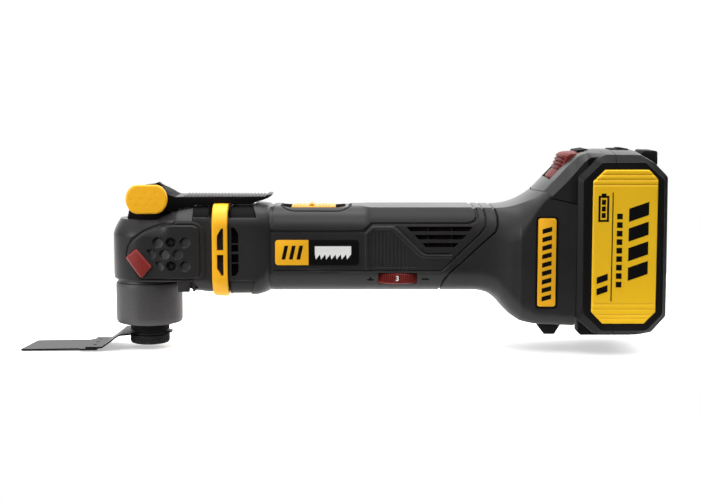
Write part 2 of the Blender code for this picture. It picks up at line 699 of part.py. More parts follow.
# ---------------------------------------------------------------- controls
def make_controls():
    slider = box("switch_slider", (92.0, -2.0, 80.0), (106.0, 2.0, 85.0))
    pad = rounded_box((90.0, -8.5), (118.6, 8.5), 2.5)
    add(slider, prism("slider_pad", pad, "Z", 84.2, 88.4))
    ridge = [(101.8, 88.0), (103.5, 90.0), (105.2, 88.0)]
    add(slider, prism("slider_ridge", ridge, "Y", -6.0, 6.0))
    cut(slider, box("cut_slider_end", (90.0, -3.0, 70.0), (98.2, 3.0, 84.2)))
    finish_piece(slider, "slider", "yellow")

    switch = box("switch_body", (88.0, -8.0, 62.0), (120.0, 8.0, 79.4))
    finish_piece(switch, "housing", "trim_black")

    rings = []
    for radius, height in ((WHEEL_RADIUS - 0.6, WHEEL_LOW), (WHEEL_RADIUS, WHEEL_LOW + 0.6),
                           (WHEEL_RADIUS, WHEEL_HIGH - 0.6), (WHEEL_RADIUS - 0.6, WHEEL_HIGH)):
        outline = circle(radius, (WHEEL_X, WHEEL_Y), 40)
        rings.append([(a, b, height) for a, b in outline])
    wheel = loft("speed_wheel", rings)
    add(wheel, cylinder("wheel_stub", "Z", 3.0, (WHEEL_X, WHEEL_Y), WHEEL_LOW, 52.0, 16))
    finish_piece(wheel, "wheel", "red")

    pot = box("speed_control", (149.0, -12.0, 48.4), (165.0, 3.0, 57.0))
    cut(pot, cylinder("cut_pot_bore", "Z", 3.4, (WHEEL_X, WHEEL_Y), 40.0, 53.0, 16))
    finish_piece(pot, "housing", "trim_black")

    board = box("control_board", (134.0, -16.0, 66.0), (214.0, 16.0, 67.8))
    for start, end, height in ((140.0, 158.0, 73.0), (165.0, 186.0, 76.0), (192.0, 208.0, 72.0)):
        add(board, box("board_block", (start, -9.0, 67.0), (end, 9.0, height)))
    finish_piece(board, "housing", "board_green")

    block = box("terminal_block", (248.6, -13.0, 30.0), (255.6, 13.0, 51.0))
    for y in (-8.0, 0.0, 8.0):
        add(block, box("terminal_blade", (255.0, y - 0.5, 34.0), (263.0, y + 0.5, 47.0)))
    finish_piece(block, "housing", "trim_black")


# ---------------------------------------------------------------- battery pack
def pack_ring(inset, depth, low, high, corner):
    outline = chamfered_box((low[0] + inset, low[1] + inset), (high[0] - inset, high[1] - inset), corner)
    return [(x, depth, z) for x, z in outline]


def pack_block(name, inset):
    corner = 13.0 - 0.4 * inset
    border_low, border_high = (271.0, 13.7), (319.2, 116.6)
    body_low, body_high = (PACK_FRONT, PACK_LOW), (PACK_REAR, PACK_HIGH)
    side = PACK_SIDE - inset
    shoulder = PACK_SHOULDER - 0.4 * inset
    return loft(name, [
        pack_ring(inset, -side, border_low, border_high, corner - 2.0),
        pack_ring(inset, -shoulder, body_low, body_high, corner),
        pack_ring(inset, shoulder, body_low, body_high, corner),
        pack_ring(inset, side, border_low, border_high, corner - 2.0),
    ])


def panel_plate(name, low, high):
    outline = chamfered_box((275.4, 18.2), (314.4, 111.7), 9.0)
    return prism(name, outline, "Y", low, high)


def panel_pocket(name, low, high):
    outline = chamfered_box((275.1, 17.9), (314.7, 112.0), 9.1)
    return prism(name, outline, "Y", low, high)


def button_outline():
    """The release button from the side."""
    return [
        (251.2, 105.2), (258.6, 116.4), (260.2, 120.4), (268.0, 122.6), (273.0, 122.6),
        (273.0, 117.0), (258.0, 101.6), (254.6, 101.6),
    ]


def button_pocket():
    """The pocket from the side, with room for the pressed button below and behind it."""
    return [
        (250.8, 104.8), (247.0, 108.8), (247.0, 130.0), (275.9, 130.0), (275.9, 114.8),
        (259.8, 98.0), (257.2, 98.0),
    ]


def make_pack_cases():
    for label in ("front", "rear"):
        case = pack_block("pack_case_" + label, 0.0)
        if label == "front":
            hood = [(HOOD_FRONT, HOOD_BOTTOM), (HOOD_FRONT, 97.0), (270.0, 121.8), (282.0, 121.8),
                    (282.0, HOOD_BOTTOM)]
            hood_block = prism("pack_hood", hood, "Y", -HOOD_SIDE, HOOD_SIDE)
            for side in (-1, 1):
                bevel = [(side * HOOD_SIDE, 0.0), (side * 60.0, 0.0), (side * 60.0, 60.0),
                         (side * 26.0, 60.0), (side * 26.0, 27.0), (side * HOOD_SIDE, 20.0)]
                rings = []
                for x, lift in ((HOOD_FRONT - 8.0, 63.0), (270.0, 87.8), (290.0, 106.7)):
                    rings.append([(x, y, z + lift + 7.0) for y, z in bevel])
                cut(hood_block, loft("cut_hood_bevel", rings))
            add(case, hood_block)
            rail = box("pack_rail", (257.0, -20.0, 25.5), (268.0, 20.0, 94.0))
            add(case, rail)
        cut(case, pack_block("cut_pack_room_" + label, WALL))
        if label == "front":
            for y in (-8.0, 0.0, 8.0):
                cut(case, box("cut_contact_slot", (250.0, y - 1.4, 20.0), (264.5, y + 1.4, 52.0)))
            cut(case, prism("cut_button_pocket", button_pocket(), "Y", -BUTTON_SIDE - 0.4, BUTTON_SIDE + 0.4))
        for side in (-1, 1):
            cut(case, panel_pocket("cut_panel_pocket", side * (PACK_SIDE - 1.0), side * 45.0))
        split = PACK_SPLIT + (0.15 if label == "rear" else -0.15)
        low, high = ((200.0, split) if label == "rear" else (split, 400.0))
        cut(case, box("cut_pack_split_" + label, (low, -60.0, -20.0), (high, 60.0, 150.0)))
        finish_piece(case, "battery", "trim_black")


def make_pack_trim():
    for side, label in ((-1, "left"), (1, "right")):
        low = side * (PACK_SIDE - 1.0 + GAP)
        plate = panel_plate("pack_panel_" + label, low, side * (PACK_SIDE + 0.5))
        finish_piece(plate, "battery", "pack_yellow")
    bumper = [(271.4, 16.0), (273.6, 6.1), (305.4, 6.1), (307.6, 9.6), (279.2, 9.6), (271.8, 16.6)]
    finish_piece(prism("pack_foot", bumper, "Y", -13.0, 13.0), "battery", "rubber")
    stop = [(312.5, 121.8), (320.6, 121.8), (322.0, 120.4), (322.0, 113.4), (321.6, 112.4)]
    rear = prism("pack_bumper", stop, "Y", -13.0, 13.0)
    finish_piece(rear, "battery", "rubber")


def make_cells():
    for row in range(5):
        height = PACK_LOW + 17.4 + row * 19.3
        name = f"cell_pair_{row + 1}"
        pair = cylinder(name, "Y", CELL_RADIUS, (284.0, height), -CELL_HALF, CELL_HALF, 16)
        second = cylinder("second_cell", "Y", CELL_RADIUS, (304.0, height), -CELL_HALF, CELL_HALF, 16)
        add(pair, second)
        for side in (-1, 1):
            strip = box("cell_strip", (282.0, side * (CELL_HALF - 0.5), height - 3.5),
                        (306.0, side * (CELL_HALF + 0.3), height + 3.5))
            add(pair, strip)
        finish_piece(pair, "battery", "cell_blue")
    holder = box("cell_holder", (293.5, -28.0, 16.0), (294.5, 28.0, 116.0))
    finish_piece(holder, "battery", "rubber")
    board = box("pack_board", (269.6, -26.0, 30.0), (271.2, 26.0, 104.0))
    finish_piece(board, "battery", "board_green")


def make_release_button():
    button = prism("release_button", button_outline(), "Y", -BUTTON_SIDE, BUTTON_SIDE)
    slope = Vector((14.5, 0.0, 15.4)).normalized()
    for index in range(4):
        base = Vector((251.8, 0.0, 108.4)) + slope * (index * 4.4 + 1.0)
        outline = [(base.x, base.z), (base.x + slope.x * 1.6, base.z + slope.z * 1.6),
                   (base.x + 2.4, base.z - 0.6), (base.x + 1.2, base.z - 2.2)]
        add(button, prism(f"button_ridge_{index}", outline, "Y", 3.0 - BUTTON_SIDE, BUTTON_SIDE - 3.0))
    finish_piece(button, "button", "red")


# ---------------------------------------------------------------- assembly
def build():
    make_head_cover()
    make_gear_case()
    make_head_trim()
    for side, label in ((-1, "left"), (1, "right")):
        make_housing_half(side, label)
    make_collar()
    make_badges()
    make_rear_foot()
    make_motor()
    make_spindle()
    make_clamp()
    make_clamp_rod()
    make_lever()
    make_controls()
    make_pack_cases()
    make_pack_trim()
    make_cells()
    make_release_button()


clear_scene()
MATERIALS = {finish_name: make_material(finish_name) for finish_name in FINISHES}
EMPTIES = {body_name: make_body_empty(body_name) for body_name in BODY_ORIGINS}
build()
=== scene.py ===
"""Looks of the cordless oscillating multi-tool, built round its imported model.

Shapes are worked out in millimetres and written to the meshes in metres. +X runs from the
head to the battery, +Z is up, and the tool's left side faces -Y.
"""
import math

import bmesh
import bpy
import numpy as np
from mathutils import Matrix, Vector


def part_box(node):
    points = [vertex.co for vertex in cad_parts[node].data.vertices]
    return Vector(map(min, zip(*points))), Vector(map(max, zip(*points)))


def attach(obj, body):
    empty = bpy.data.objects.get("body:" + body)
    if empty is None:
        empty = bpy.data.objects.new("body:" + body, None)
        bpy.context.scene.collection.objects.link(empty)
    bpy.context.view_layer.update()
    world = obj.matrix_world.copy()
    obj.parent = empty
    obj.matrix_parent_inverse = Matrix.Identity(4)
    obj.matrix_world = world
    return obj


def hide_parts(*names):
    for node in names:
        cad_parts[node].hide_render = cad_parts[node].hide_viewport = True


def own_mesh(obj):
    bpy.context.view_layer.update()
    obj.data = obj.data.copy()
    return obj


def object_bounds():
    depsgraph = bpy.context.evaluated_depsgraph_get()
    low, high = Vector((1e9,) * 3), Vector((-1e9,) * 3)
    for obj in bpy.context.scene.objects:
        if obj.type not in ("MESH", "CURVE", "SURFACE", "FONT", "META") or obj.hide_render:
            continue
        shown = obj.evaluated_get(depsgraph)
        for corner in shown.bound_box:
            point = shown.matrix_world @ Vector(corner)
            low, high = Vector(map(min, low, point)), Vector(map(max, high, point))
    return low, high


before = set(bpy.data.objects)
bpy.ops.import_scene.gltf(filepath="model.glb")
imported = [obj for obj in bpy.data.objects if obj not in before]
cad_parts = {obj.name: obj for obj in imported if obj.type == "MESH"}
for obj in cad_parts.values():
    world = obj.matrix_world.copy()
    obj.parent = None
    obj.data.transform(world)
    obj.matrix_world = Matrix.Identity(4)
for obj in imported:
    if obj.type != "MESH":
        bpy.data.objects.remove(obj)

CAD_LOW, CAD_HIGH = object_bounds()

MM = 0.001
FINE = 1.0
SIDES = ((-1, "left"), (1, "right"))


def cad(node):
    """A CAD node's lowest and highest corner, in millimetres."""
    low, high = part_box(node)
    return low / MM, high / MM


# ---------------------------------------------------------------- sizes read from the frame
HOUSING_LOW, HOUSING_HIGH = cad("housing_left")
HEAD_LOW, HEAD_HIGH = cad("head_cover")
WHEEL_LOW, WHEEL_HIGH = cad("speed_wheel")
BLADE_LOW = cad("saw_blade")[0]

MOTOR_Z = (cad("stator")[0].z + cad("stator")[1].z) / 2.0
LEVER_Z = (cad("lever_pin")[0].z + cad("lever_pin")[1].z) / 2.0
SPLIT_X = (cad("pack_case_rear")[0].x + cad("pack_case_front")[1].x) / 2.0
WALL = 2.5


# ---------------------------------------------------------------- small mathematics
def smooth(start, end, value):
    """A soft step: 0 before the start, 1 after the end."""
    share = np.clip((value - start) / (end - start), 0.0, 1.0)
    return share * share * (3.0 - 2.0 * share)


def line_distance(x, z, points):
    """Distance from each (x, z) to a line through the given points."""
    nearest = np.full(np.shape(x), 1e9)
    for (ax, az), (bx, bz) in zip(points, points[1:]):
        run, rise = bx - ax, bz - az
        share = np.clip(((x - ax) * run + (z - az) * rise) / (run * run + rise * rise), 0.0, 1.0)
        nearest = np.minimum(nearest, np.hypot(x - ax - share * run, z - az - share * rise))
    return nearest


def inside_distance(x, z, outline):
    """Distance to an outline: positive inside it, negative outside."""
    closed = list(outline) + [outline[0]]
    distance = line_distance(x, z, closed)
    inside = np.zeros(np.shape(x), bool)
    for (ax, az), (bx, bz) in zip(closed, closed[1:]):
        if az == bz:
            continue
        crosses = (az > z) != (bz > z)
        inside ^= crosses & (x < (bx - ax) * (z - az) / (bz - az) + ax)
    return np.where(inside, distance, -distance)


def curve_through(x, places, values):
    """A smooth curve through the values that never overshoots them."""
    places, values = np.asarray(places, float), np.asarray(values, float)
    steps = np.diff(places)
    slopes = np.diff(values) / steps
    tangents = np.zeros(len(values))
    for i in range(1, len(values) - 1):
        if slopes[i - 1] * slopes[i] > 0.0:
            first, second = 2.0 * steps[i] + steps[i - 1], steps[i] + 2.0 * steps[i - 1]
            tangents[i] = (first + second) / (first / slopes[i - 1] + second / slopes[i])
    index = np.clip(np.searchsorted(places, x) - 1, 0, len(steps) - 1)
    step = steps[index]
    share = (x - places[index]) / step
    return (
        (1.0 + 2.0 * share) * (1.0 - share) ** 2 * values[index]
        + share * (1.0 - share) ** 2 * step * tangents[index]
        + share * share * (3.0 - 2.0 * share) * values[index + 1]
        + share * share * (share - 1.0) * step * tangents[index + 1]
    )


def arc(centre, radius, start_deg, end_deg, steps):
    """Points along an arc, both ends included."""
    angles = np.radians(np.linspace(start_deg, end_deg, steps + 1))
    return [(centre[0] + radius * math.cos(a), centre[1] + radius * math.sin(a)) for a in angles]


def rounded_outline(corners, radius, steps=5):
    """An outline whose corners are rounded. radius is one number, or one for each corner."""
    radii = radius if isinstance(radius, (list, tuple)) else [radius] * len(corners)
    points = []
    for i, size in enumerate(radii):
        here = Vector(corners[i])
        before = (Vector(corners[i - 1]) - here).normalized()
        after = (Vector(corners[(i + 1) % len(corners)]) - here).normalized()
        half = before.angle(after) / 2.0
        reach = size / math.tan(half)
        centre = here + (before + after).normalized() * (size / math.sin(half))
        start = here + before * reach - centre
        end = here + after * reach - centre
        turn = start.angle_signed(end)
        for step in range(steps + 1):
            angle = -turn * step / steps
            spun = Matrix.Rotation(angle, 2) @ start
            points.append(tuple(centre + spun))
    return points


def box_outline(low, high):
    return [(low[0], low[1]), (high[0], low[1]), (high[0], high[1]), (low[0], high[1])]


def resample(outline, count):
    """The same closed outline with evenly spaced points."""
    closed = np.array(list(outline) + [outline[0]])
    lengths = np.concatenate([[0.0], np.cumsum(np.hypot(*np.diff(closed, axis=0).T))])
    places = np.linspace(0.0, lengths[-1], count, endpoint=False)
    return np.stack([np.interp(places, lengths, closed[:, i]) for i in (0, 1)], axis=1)


def spaced(start, end, pitch):
    return np.linspace(start, end, max(2, int(round((end - start) / (pitch * FINE))) + 1))


# ---------------------------------------------------------------- mesh helpers
def add_object(name, data):
    """A new object in the scene."""
    piece = bpy.data.objects.new(name, data)
    bpy.context.scene.collection.objects.link(piece)
    return piece


def make_mesh(name, points, faces, sharp_deg=32.0):
    """A mesh object from points in millimetres, turned so that its faces point out."""
    mesh = bpy.data.meshes.new(name)
    mesh.from_pydata((np.asarray(points, float).reshape(-1, 3) * MM).tolist(), [], faces)
    piece = add_object(name, mesh)
    shape = bmesh.new()
    shape.from_mesh(mesh)
    if shape.calc_volume(signed=True) < 0.0:
        bmesh.ops.reverse_faces(shape, faces=shape.faces)
        shape.to_mesh(mesh)
    shape.free()
    shade(piece, sharp_deg)
    return piece


def shade(piece, sharp_deg):
    piece.data.shade_smooth()
    piece.data.set_sharp_from_angle(angle=math.radians(sharp_deg))


def loft(name, rings, sharp_deg=32.0):
    """A closed solid through rings of equal length."""
    rings = np.asarray(rings, float)
    rows, columns = rings.shape[:2]
    here = np.arange(rows - 1)[:, None] * columns + np.arange(columns)[None, :]
    after = np.arange(rows - 1)[:, None] * columns + (np.arange(columns)[None, :] + 1) % columns
    quads = np.stack([here, after, after + columns, here + columns], axis=-1).reshape(-1, 4)
    faces = quads.tolist()
    faces.append(list(range(columns))[::-1])
    faces.append(list(range((rows - 1) * columns, rows * columns)))
    return make_mesh(name, rings.reshape(-1, 3), faces, sharp_deg)


def placed(outline, axis, along):
    """An outline's points, with the missing coordinate added along an axis."""
    points = np.asarray(outline, float)
    extra = np.full((len(points), 1), along)
    parts = {"X": (extra, points[:, :1], points[:, 1:]), "Y": (points[:, :1], extra, points[:, 1:]),
             "Z": (points[:, :1], points[:, 1:], extra)}
    return np.concatenate(parts[axis], axis=1)


def prism(name, outline, axis, low, high, bevel=0.0, segments=3):
    """An outline drawn out along an axis, its edges rounded where a bevel is given."""
    piece = loft(name, [placed(outline, axis, low), placed(outline, axis, high)])
    if bevel > 0.0:
        round_edges(piece, bevel, segments)
    return piece


def block(name, low, high, axis, start, end):
    """A prism over an upright rectangle."""
    return prism(name, box_outline(low, high), axis, start, end)


def across(name, outline, half, bevel=0.0, segments=3):
    """A prism that reaches equally far to both sides of the tool."""
    return prism(name, outline, "Y", -half, half, bevel, segments)


def round_edges(piece, width, segments=3, angle_deg=38.0):
    modifier = piece.modifiers.new("rounded", "BEVEL")
    modifier.width = width * MM
    modifier.segments = segments
    modifier.limit_method = "ANGLE"
    modifier.angle_limit = math.radians(angle_deg)
    apply_modifiers(piece)
    shade(piece, 40.0)


def apply_modifiers(piece):
    graph = bpy.context.evaluated_depsgraph_get()
    mesh = bpy.data.meshes.new_from_object(piece.evaluated_get(graph))
    piece.modifiers.clear()
    piece.data = mesh


def combine(piece, other, operation):
    """Joins, cuts or intersects a piece with another solid, which is used up."""
    modifier = piece.modifiers.new("cut", "BOOLEAN")
    modifier.operation = operation
    modifier.solver = "MANIFOLD"
    modifier.object = other
    apply_modifiers(piece)
    bpy.data.objects.remove(other)
    shade(piece, 32.0)
    return piece


def carve(piece, *cutters):
    for cutter in cutters:
        combine(piece, cutter, "DIFFERENCE")
    return piece


def weld(piece, *others):
    for other in others:
        combine(piece, other, "UNION")
    return piece


def join(piece, *others):
    """Puts other solids into the same object, as separate shells."""
    shape = bmesh.new()
    for item in (piece,) + others:
        shape.from_mesh(item.data)
    shape.to_mesh(piece.data)
    shape.free()
    for item in others:
        bpy.data.objects.remove(item)
    return piece


def turned(name, profile, centre=(0.0, 0.0), steps=128, radius_at=None, sharp_deg=32.0):
    """A solid of revolution about a vertical axis. radius_at can vary it with angle and height."""
    profile = np.asarray(profile, float)
    angles = np.linspace(0.0, 2.0 * math.pi, steps, endpoint=False)
    radii = np.repeat(profile[:, :1], steps, axis=1)
    heights = np.repeat(profile[:, 1:], steps, axis=1)
    if radius_at is not None:
        radii = radii + radius_at(angles[None, :], heights)
    rings = np.stack(
        [centre[0] + radii * np.cos(angles), centre[1] + radii * np.sin(angles), heights], axis=-1
    )
    return loft(name, rings, sharp_deg)


def denser(profile, pitch, beyond=0.0):
    """The same profile with more points where its radius is past a limit."""
    points = []
    for (r0, z0), (r1, z1) in zip(profile, profile[1:]):
        steps = max(1, int(math.hypot(r1 - r0, z1 - z0) / pitch)) if r0 > beyond else 1
        points += [(r0 + (r1 - r0) * i / steps, z0 + (z1 - z0) * i / steps) for i in range(steps)]
    return points + [profile[-1]]


def shift(piece, x, y, z):
    piece.data.transform(Matrix.Translation(Vector((x, y, z)) * MM))
    return piece


def rotate(piece, degrees, axis):
    """Turns a piece about an axis through the frame's origin."""
    piece.data.transform(Matrix.Rotation(math.radians(degrees), 4, axis))
    return piece


def flip_side(mesh):
    mesh.transform(Matrix.Scale(-1.0, 4, (0.0, 1.0, 0.0)))
    mesh.flip_normals()


def mirrored(piece, name):
    """The same piece on the tool's other side."""
    mesh = piece.data.copy()
    flip_side(mesh)
    return add_object(name, mesh)


def grid_over(outline, pitch_x, pitch_z):
    """A grid in side view that covers an outline and a little more."""
    points = np.array(outline)
    low, high = points.min(axis=0) - 0.8, points.max(axis=0) + 0.8
    return np.meshgrid(spaced(low[0], high[0], pitch_x), spaced(low[1], high[1], pitch_z))


def trimmed_sheet(name, outline, grid_x, grid_z, front, rear):
    """A solid between two height fields, trimmed to an outline in side view."""
    rows, columns = grid_x.shape
    count = rows * columns
    points = np.concatenate([np.stack([grid_x, front, grid_z], axis=-1).reshape(-1, 3),
                             np.stack([grid_x, rear, grid_z], axis=-1).reshape(-1, 3)])
    here = (np.arange(rows - 1)[:, None] * columns + np.arange(columns - 1)[None, :]).reshape(-1)
    quads = np.stack([here, here + 1, here + columns + 1, here + columns], axis=1)
    faces = quads.tolist() + (quads[:, ::-1] + count).tolist()
    rim = list(range(columns)) + [r * columns + columns - 1 for r in range(1, rows)]
    rim += [(rows - 1) * columns + c for c in range(columns - 2, -1, -1)]
    rim += [r * columns for r in range(rows - 2, 0, -1)]
    for first, second in zip(rim, rim[1:] + rim[:1]):
        faces.append([second, first, first + count, second + count])
    solid = make_mesh(name, points, faces, 28.0)
    return combine(solid, prism("trim_" + name, outline, "Y", -60.0, -4.0), "INTERSECT")


# ---------------------------------------------------------------- materials
def new_material(name, roughness, metallic=0.0):
    material = bpy.data.materials.new(name)
    material.use_nodes = True
    tree = material.node_tree
    shader = tree.nodes["Principled BSDF"]
    shader.inputs["Roughness"].default_value = roughness
    shader.inputs["Metallic"].default_value = metallic
    return material, tree, shader


def add_node(tree, kind, sources, values):
    """A new shader node with some of its inputs linked and others set."""
    node = tree.nodes.new("ShaderNode" + kind)
    for socket, source in sources.items():
        tree.links.new(source, node.inputs[socket])
    for socket, value in values.items():
        node.inputs[socket].default_value = value
    return node


def texture_place(tree, stretch=(1.0, 1.0, 1.0)):
    place = tree.nodes.new("ShaderNodeTexCoord").outputs["Object"]
    return add_node(tree, "Mapping", {"Vector": place}, {"Scale": stretch}).outputs["Vector"]


def noise(tree, place, scale, detail=3.0, roughness=0.55):
    values = {"Scale": scale, "Detail": detail, "Roughness": roughness}
    return add_node(tree, "TexNoise", {"Vector": place}, values).outputs["Fac"]


def ramp(tree, value, stops):
    node = tree.nodes.new("ShaderNodeValToRGB")
    elements = node.color_ramp.elements
    while len(elements) < len(stops):
        elements.new(0.5)
    for element, (place, colour) in zip(elements, stops):
        element.position = place
        element.color = (*colour, 1.0)
    tree.links.new(value, node.inputs["Fac"])
    return node.outputs["Color"]


def mix_colours(tree, amount, first, second):
    node = tree.nodes.new("ShaderNodeMix")
    node.data_type = "RGBA"
    tree.links.new(amount, node.inputs["Factor"])
    for socket, value in ((node.inputs[6], first), (node.inputs[7], second)):
        if isinstance(value, tuple):
            socket.default_value = (*value, 1.0)
        else:
            tree.links.new(value, socket)
    return node.outputs[2]


def remap(tree, value, low, high, from_low=0.0, from_high=1.0):
    values = {"From Min": from_low, "From Max": from_high, "To Min": low, "To Max": high}
    return add_node(tree, "MapRange", {"Value": value}, values).outputs["Result"]


def bump(tree, shader, height, distance_mm):
    node = add_node(tree, "Bump", {"Height": height}, {"Strength": 1.0, "Distance": distance_mm * MM})
    tree.links.new(node.outputs["Normal"], shader.inputs["Normal"])


def scaled(colour, factor):
    return tuple(min(1.0, channel * factor) for channel in colour)


GRAIN_MM = 0.4
# Painted shade in the hollows, as a share of the plastic's own tone.
HOLLOW_SHADE = 0.15


def moulded_plastic(name, colour, roughness, grain_depth, wear, vary, gloss):
    """Moulded plastic: fine grain, slow shifts of tone, paler worn edges and painted shade in the hollows.
    """
    material, tree, shader = new_material(name, roughness)
    place = texture_place(tree)
    slow = noise(tree, place, 28.0, 4.0)
    tone = ramp(tree, slow, ((0.3, scaled(colour, 1.0 - vary)), (0.7, scaled(colour, 1.0 + vary))))
    edge = tree.nodes.new("ShaderNodeNewGeometry").outputs["Pointiness"]
    worn = remap(tree, edge, 0.0, 0.55, 0.53, 0.62)
    edged = mix_colours(tree, worn, tone, scaled(colour, wear))
    # Painted shade: concave places, found by their pointiness, are darkened.
    hollow_shade = remap(tree, edge, 0.85, 0.0, 0.40, 0.485)
    base = mix_colours(tree, hollow_shade, edged, scaled(colour, HOLLOW_SHADE))
    tree.links.new(base, shader.inputs["Base Color"])
    grain = noise(tree, place, 1.0 / (GRAIN_MM * MM), 2.0, 0.6)
    matt = remap(tree, slow, roughness - 0.05, roughness + 0.06)
    tree.links.new(matt, shader.inputs["Roughness"])
    bump(tree, shader, grain, grain_depth)
    shader.inputs["Specular IOR Level"].default_value = gloss
    return material


def soft_rubber(name, colour, roughness):
    material, tree, shader = new_material(name, roughness)
    place = texture_place(tree)
    slow = noise(tree, place, 60.0, 5.0)
    tone = ramp(tree, slow, ((0.25, scaled(colour, 0.82)), (0.75, scaled(colour, 1.2))))
    tree.links.new(tone, shader.inputs["Base Color"])
    grain = noise(tree, place, 2600.0, 3.0, 0.7)
    bump(tree, shader, grain, 0.03)
    shader.inputs["Specular IOR Level"].default_value = 0.15
    return material


def ground_steel(name, colour, roughness, stretch, scale):
    """Ground steel: fine scratches along one way, with faint heat and handling stains."""
    material, tree, shader = new_material(name, roughness, 1.0)
    lines = noise(tree, texture_place(tree, stretch), scale, 4.0, 0.7)
    stains = noise(tree, texture_place(tree), 45.0, 5.0)
    tone = ramp(tree, lines, ((0.3, scaled(colour, 0.84)), (0.7, scaled(colour, 1.12))))
    base = mix_colours(tree, remap(tree, stains, 0.0, 0.35, 0.5, 0.8), tone, scaled(colour, 0.72))
    tree.links.new(base, shader.inputs["Base Color"])
    tree.links.new(remap(tree, lines, roughness - 0.07, roughness + 0.1), shader.inputs["Roughness"])
    bump(tree, shader, lines, 0.01)
    return material


def speckled(name, colour, speck, scale, roughness, metallic):
    """A cast, coated or printed finish with fine specks."""
    material, tree, shader = new_material(name, roughness, metallic)
    specks = noise(tree, texture_place(tree), scale, 5.0, 0.65)
    tone = ramp(tree, specks, ((0.35, colour), (0.68, speck)))
    tree.links.new(tone, shader.inputs["Base Color"])
    bump(tree, shader, specks, 0.02)
    return material


BODY_GREY = (0.0175, 0.0165, 0.0170)
BLACK = (0.0075, 0.0070, 0.0072)
YELLOW = (0.980, 0.480, 0.018)
PANEL_YELLOW = (1.000, 0.570, 0.014)
RED = (0.210, 0.020, 0.017)

# name: colour, roughness, depth of the grain, tone of worn edges, shifts of tone, gloss
PLASTICS = {
    "body_plastic": (scaled(BODY_GREY, 1.35), 0.38, 0.008, 1.5, 0.12, 0.2),
    "hood_plastic": (scaled(BODY_GREY, 0.95), 0.40, 0.008, 1.5, 0.12, 0.26),
    "pack_plastic": (scaled(BODY_GREY, 0.6), 0.42, 0.010, 1.5, 0.12, 0.18),
    # Painted highlight: a lighter grey for the lever arm's upward-facing top.
    "top_highlight_grey": (scaled(BODY_GREY, 2.2), 0.5, 0.010, 1.5, 0.12, 0.26),
    "cross_grey": (scaled(BODY_GREY, 9.0), 0.5, 0.004, 1.0, 0.12, 0.26),
    "trim_plastic": (BLACK, 0.42, 0.010, 2.0, 0.12, 0.12),
    "facet_black": (scaled(BLACK, 0.7), 0.65, 0.010, 1.5, 0.12, 0.05),
    "screw_black": (scaled(BLACK, 0.6), 0.3, 0.004, 1.6, 0.12, 0.1),
    # Painted shade: the dark, slightly red tone of the sheets behind the vents.
    "vent_dark": ((0.010, 0.0055, 0.0050), 0.6, 0.010, 1.0, 0.12, 0.08),
    "yellow_plastic": (YELLOW, 0.40, 0.006, 1.05, 0.04, 0.26),
    "slider_yellow": (scaled(YELLOW, 0.55), 0.45, 0.006, 1.05, 0.04, 0.26),
    "pack_yellow": (PANEL_YELLOW, 0.46, 0.006, 1.08, 0.05, 0.26),
    "red_plastic": (RED, 0.42, 0.008, 1.6, 0.08, 0.26),
    "button_red": (scaled(RED, 0.55), 0.5, 0.008, 1.2, 0.08, 0.12),
    "wheel_red": (scaled(RED, 0.72), 0.40, 0.008, 2.2, 0.10, 0.26),
    # Black for printing, also used as painted shade in a groove, a notch and behind openings.
    "print_and_shade_black": ((0.004, 0.004, 0.004), 0.5, 0.004, 1.0, 0.12, 0.08),
    "printed_white": ((0.80, 0.80, 0.79), 0.5, 0.004, 1.0, 0.03, 0.26),
}
MATERIALS = {name: moulded_plastic(name, *look) for name, look in PLASTICS.items()}
for make_finish, name, *look in (
    (soft_rubber, "rubber", (0.0075, 0.0070, 0.0074), 0.78),
    (ground_steel, "steel", (0.42, 0.41, 0.41), 0.34, (1.0, 14.0, 1.0), 900.0),
    (ground_steel, "blade_steel", (0.028, 0.0275, 0.028), 0.5, (1.0, 18.0, 4.0), 700.0),
    (speckled, "cast_metal", scaled(BODY_GREY, 2.2), scaled(BODY_GREY, 2.9), 900.0, 0.5, 0.1),
    (speckled, "windings", (0.45, 0.17, 0.06), (0.62, 0.30, 0.13), 1500.0, 0.35, 0.9),
    (speckled, "board", (0.015, 0.085, 0.03), (0.03, 0.14, 0.05), 700.0, 0.45, 0.0),
    (speckled, "cell_wrap", (0.04, 0.13, 0.28), (0.05, 0.17, 0.34), 300.0, 0.35, 0.0),
):
    MATERIALS[name] = make_finish(name, *look)


def stand(piece, body, *nodes):
    """Gives a piece its body and the CAD nodes that it stands for."""
    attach(piece, body)
    if nodes:
        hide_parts(*nodes)


def dress(piece, body, finish, *nodes):
    """Gives a piece its material, its body and the CAD nodes that it stands for."""
    piece.data.materials.clear()
    piece.data.materials.append(MATERIALS[finish])
    stand(piece, body, *nodes)


def paint_where(piece, finish, test):
    """Gives another finish to the faces whose centre passes the test (millimetres)."""
    mesh = piece.data
    centres = np.empty(len(mesh.polygons) * 3)
    mesh.polygons.foreach_get("center", centres)
    centres = centres.reshape(-1, 3) / MM
    mesh.materials.append(MATERIALS[finish])
    slots = np.empty(len(mesh.polygons), int)
    mesh.polygons.foreach_get("material_index", slots)
    slots[test(centres[:, 0], centres[:, 1], centres[:, 2])] = len(mesh.materials) - 1
    mesh.polygons.foreach_set("material_index", slots)


# ---------------------------------------------------------------- camera, light and floor
CAMERA_TARGET = (128.3, 0.0, 57.8)
CAMERA_RISE_DEG = 6.5
CAMERA_DISTANCE = 0.889
LENS_MM = 71.8
WHITE = (1.0, 1.0, 1.0, 1.0)
# Sky brightness from straight down (0) over the horizon (0.5) to straight up (1).
SKY = ((0.0, 0.03), (0.52, 0.03), (0.62, 0.08), (0.75, 0.34), (0.90, 1.0))
SKY_STRENGTH = 2.0
# How much of the white backdrop shows, from the front (0) to straight behind (1).
BACKDROP = ((0.45, 0.0), (0.9, 1.0))
BACKDROP_WHITE = (1.1, 1.1, 1.1)
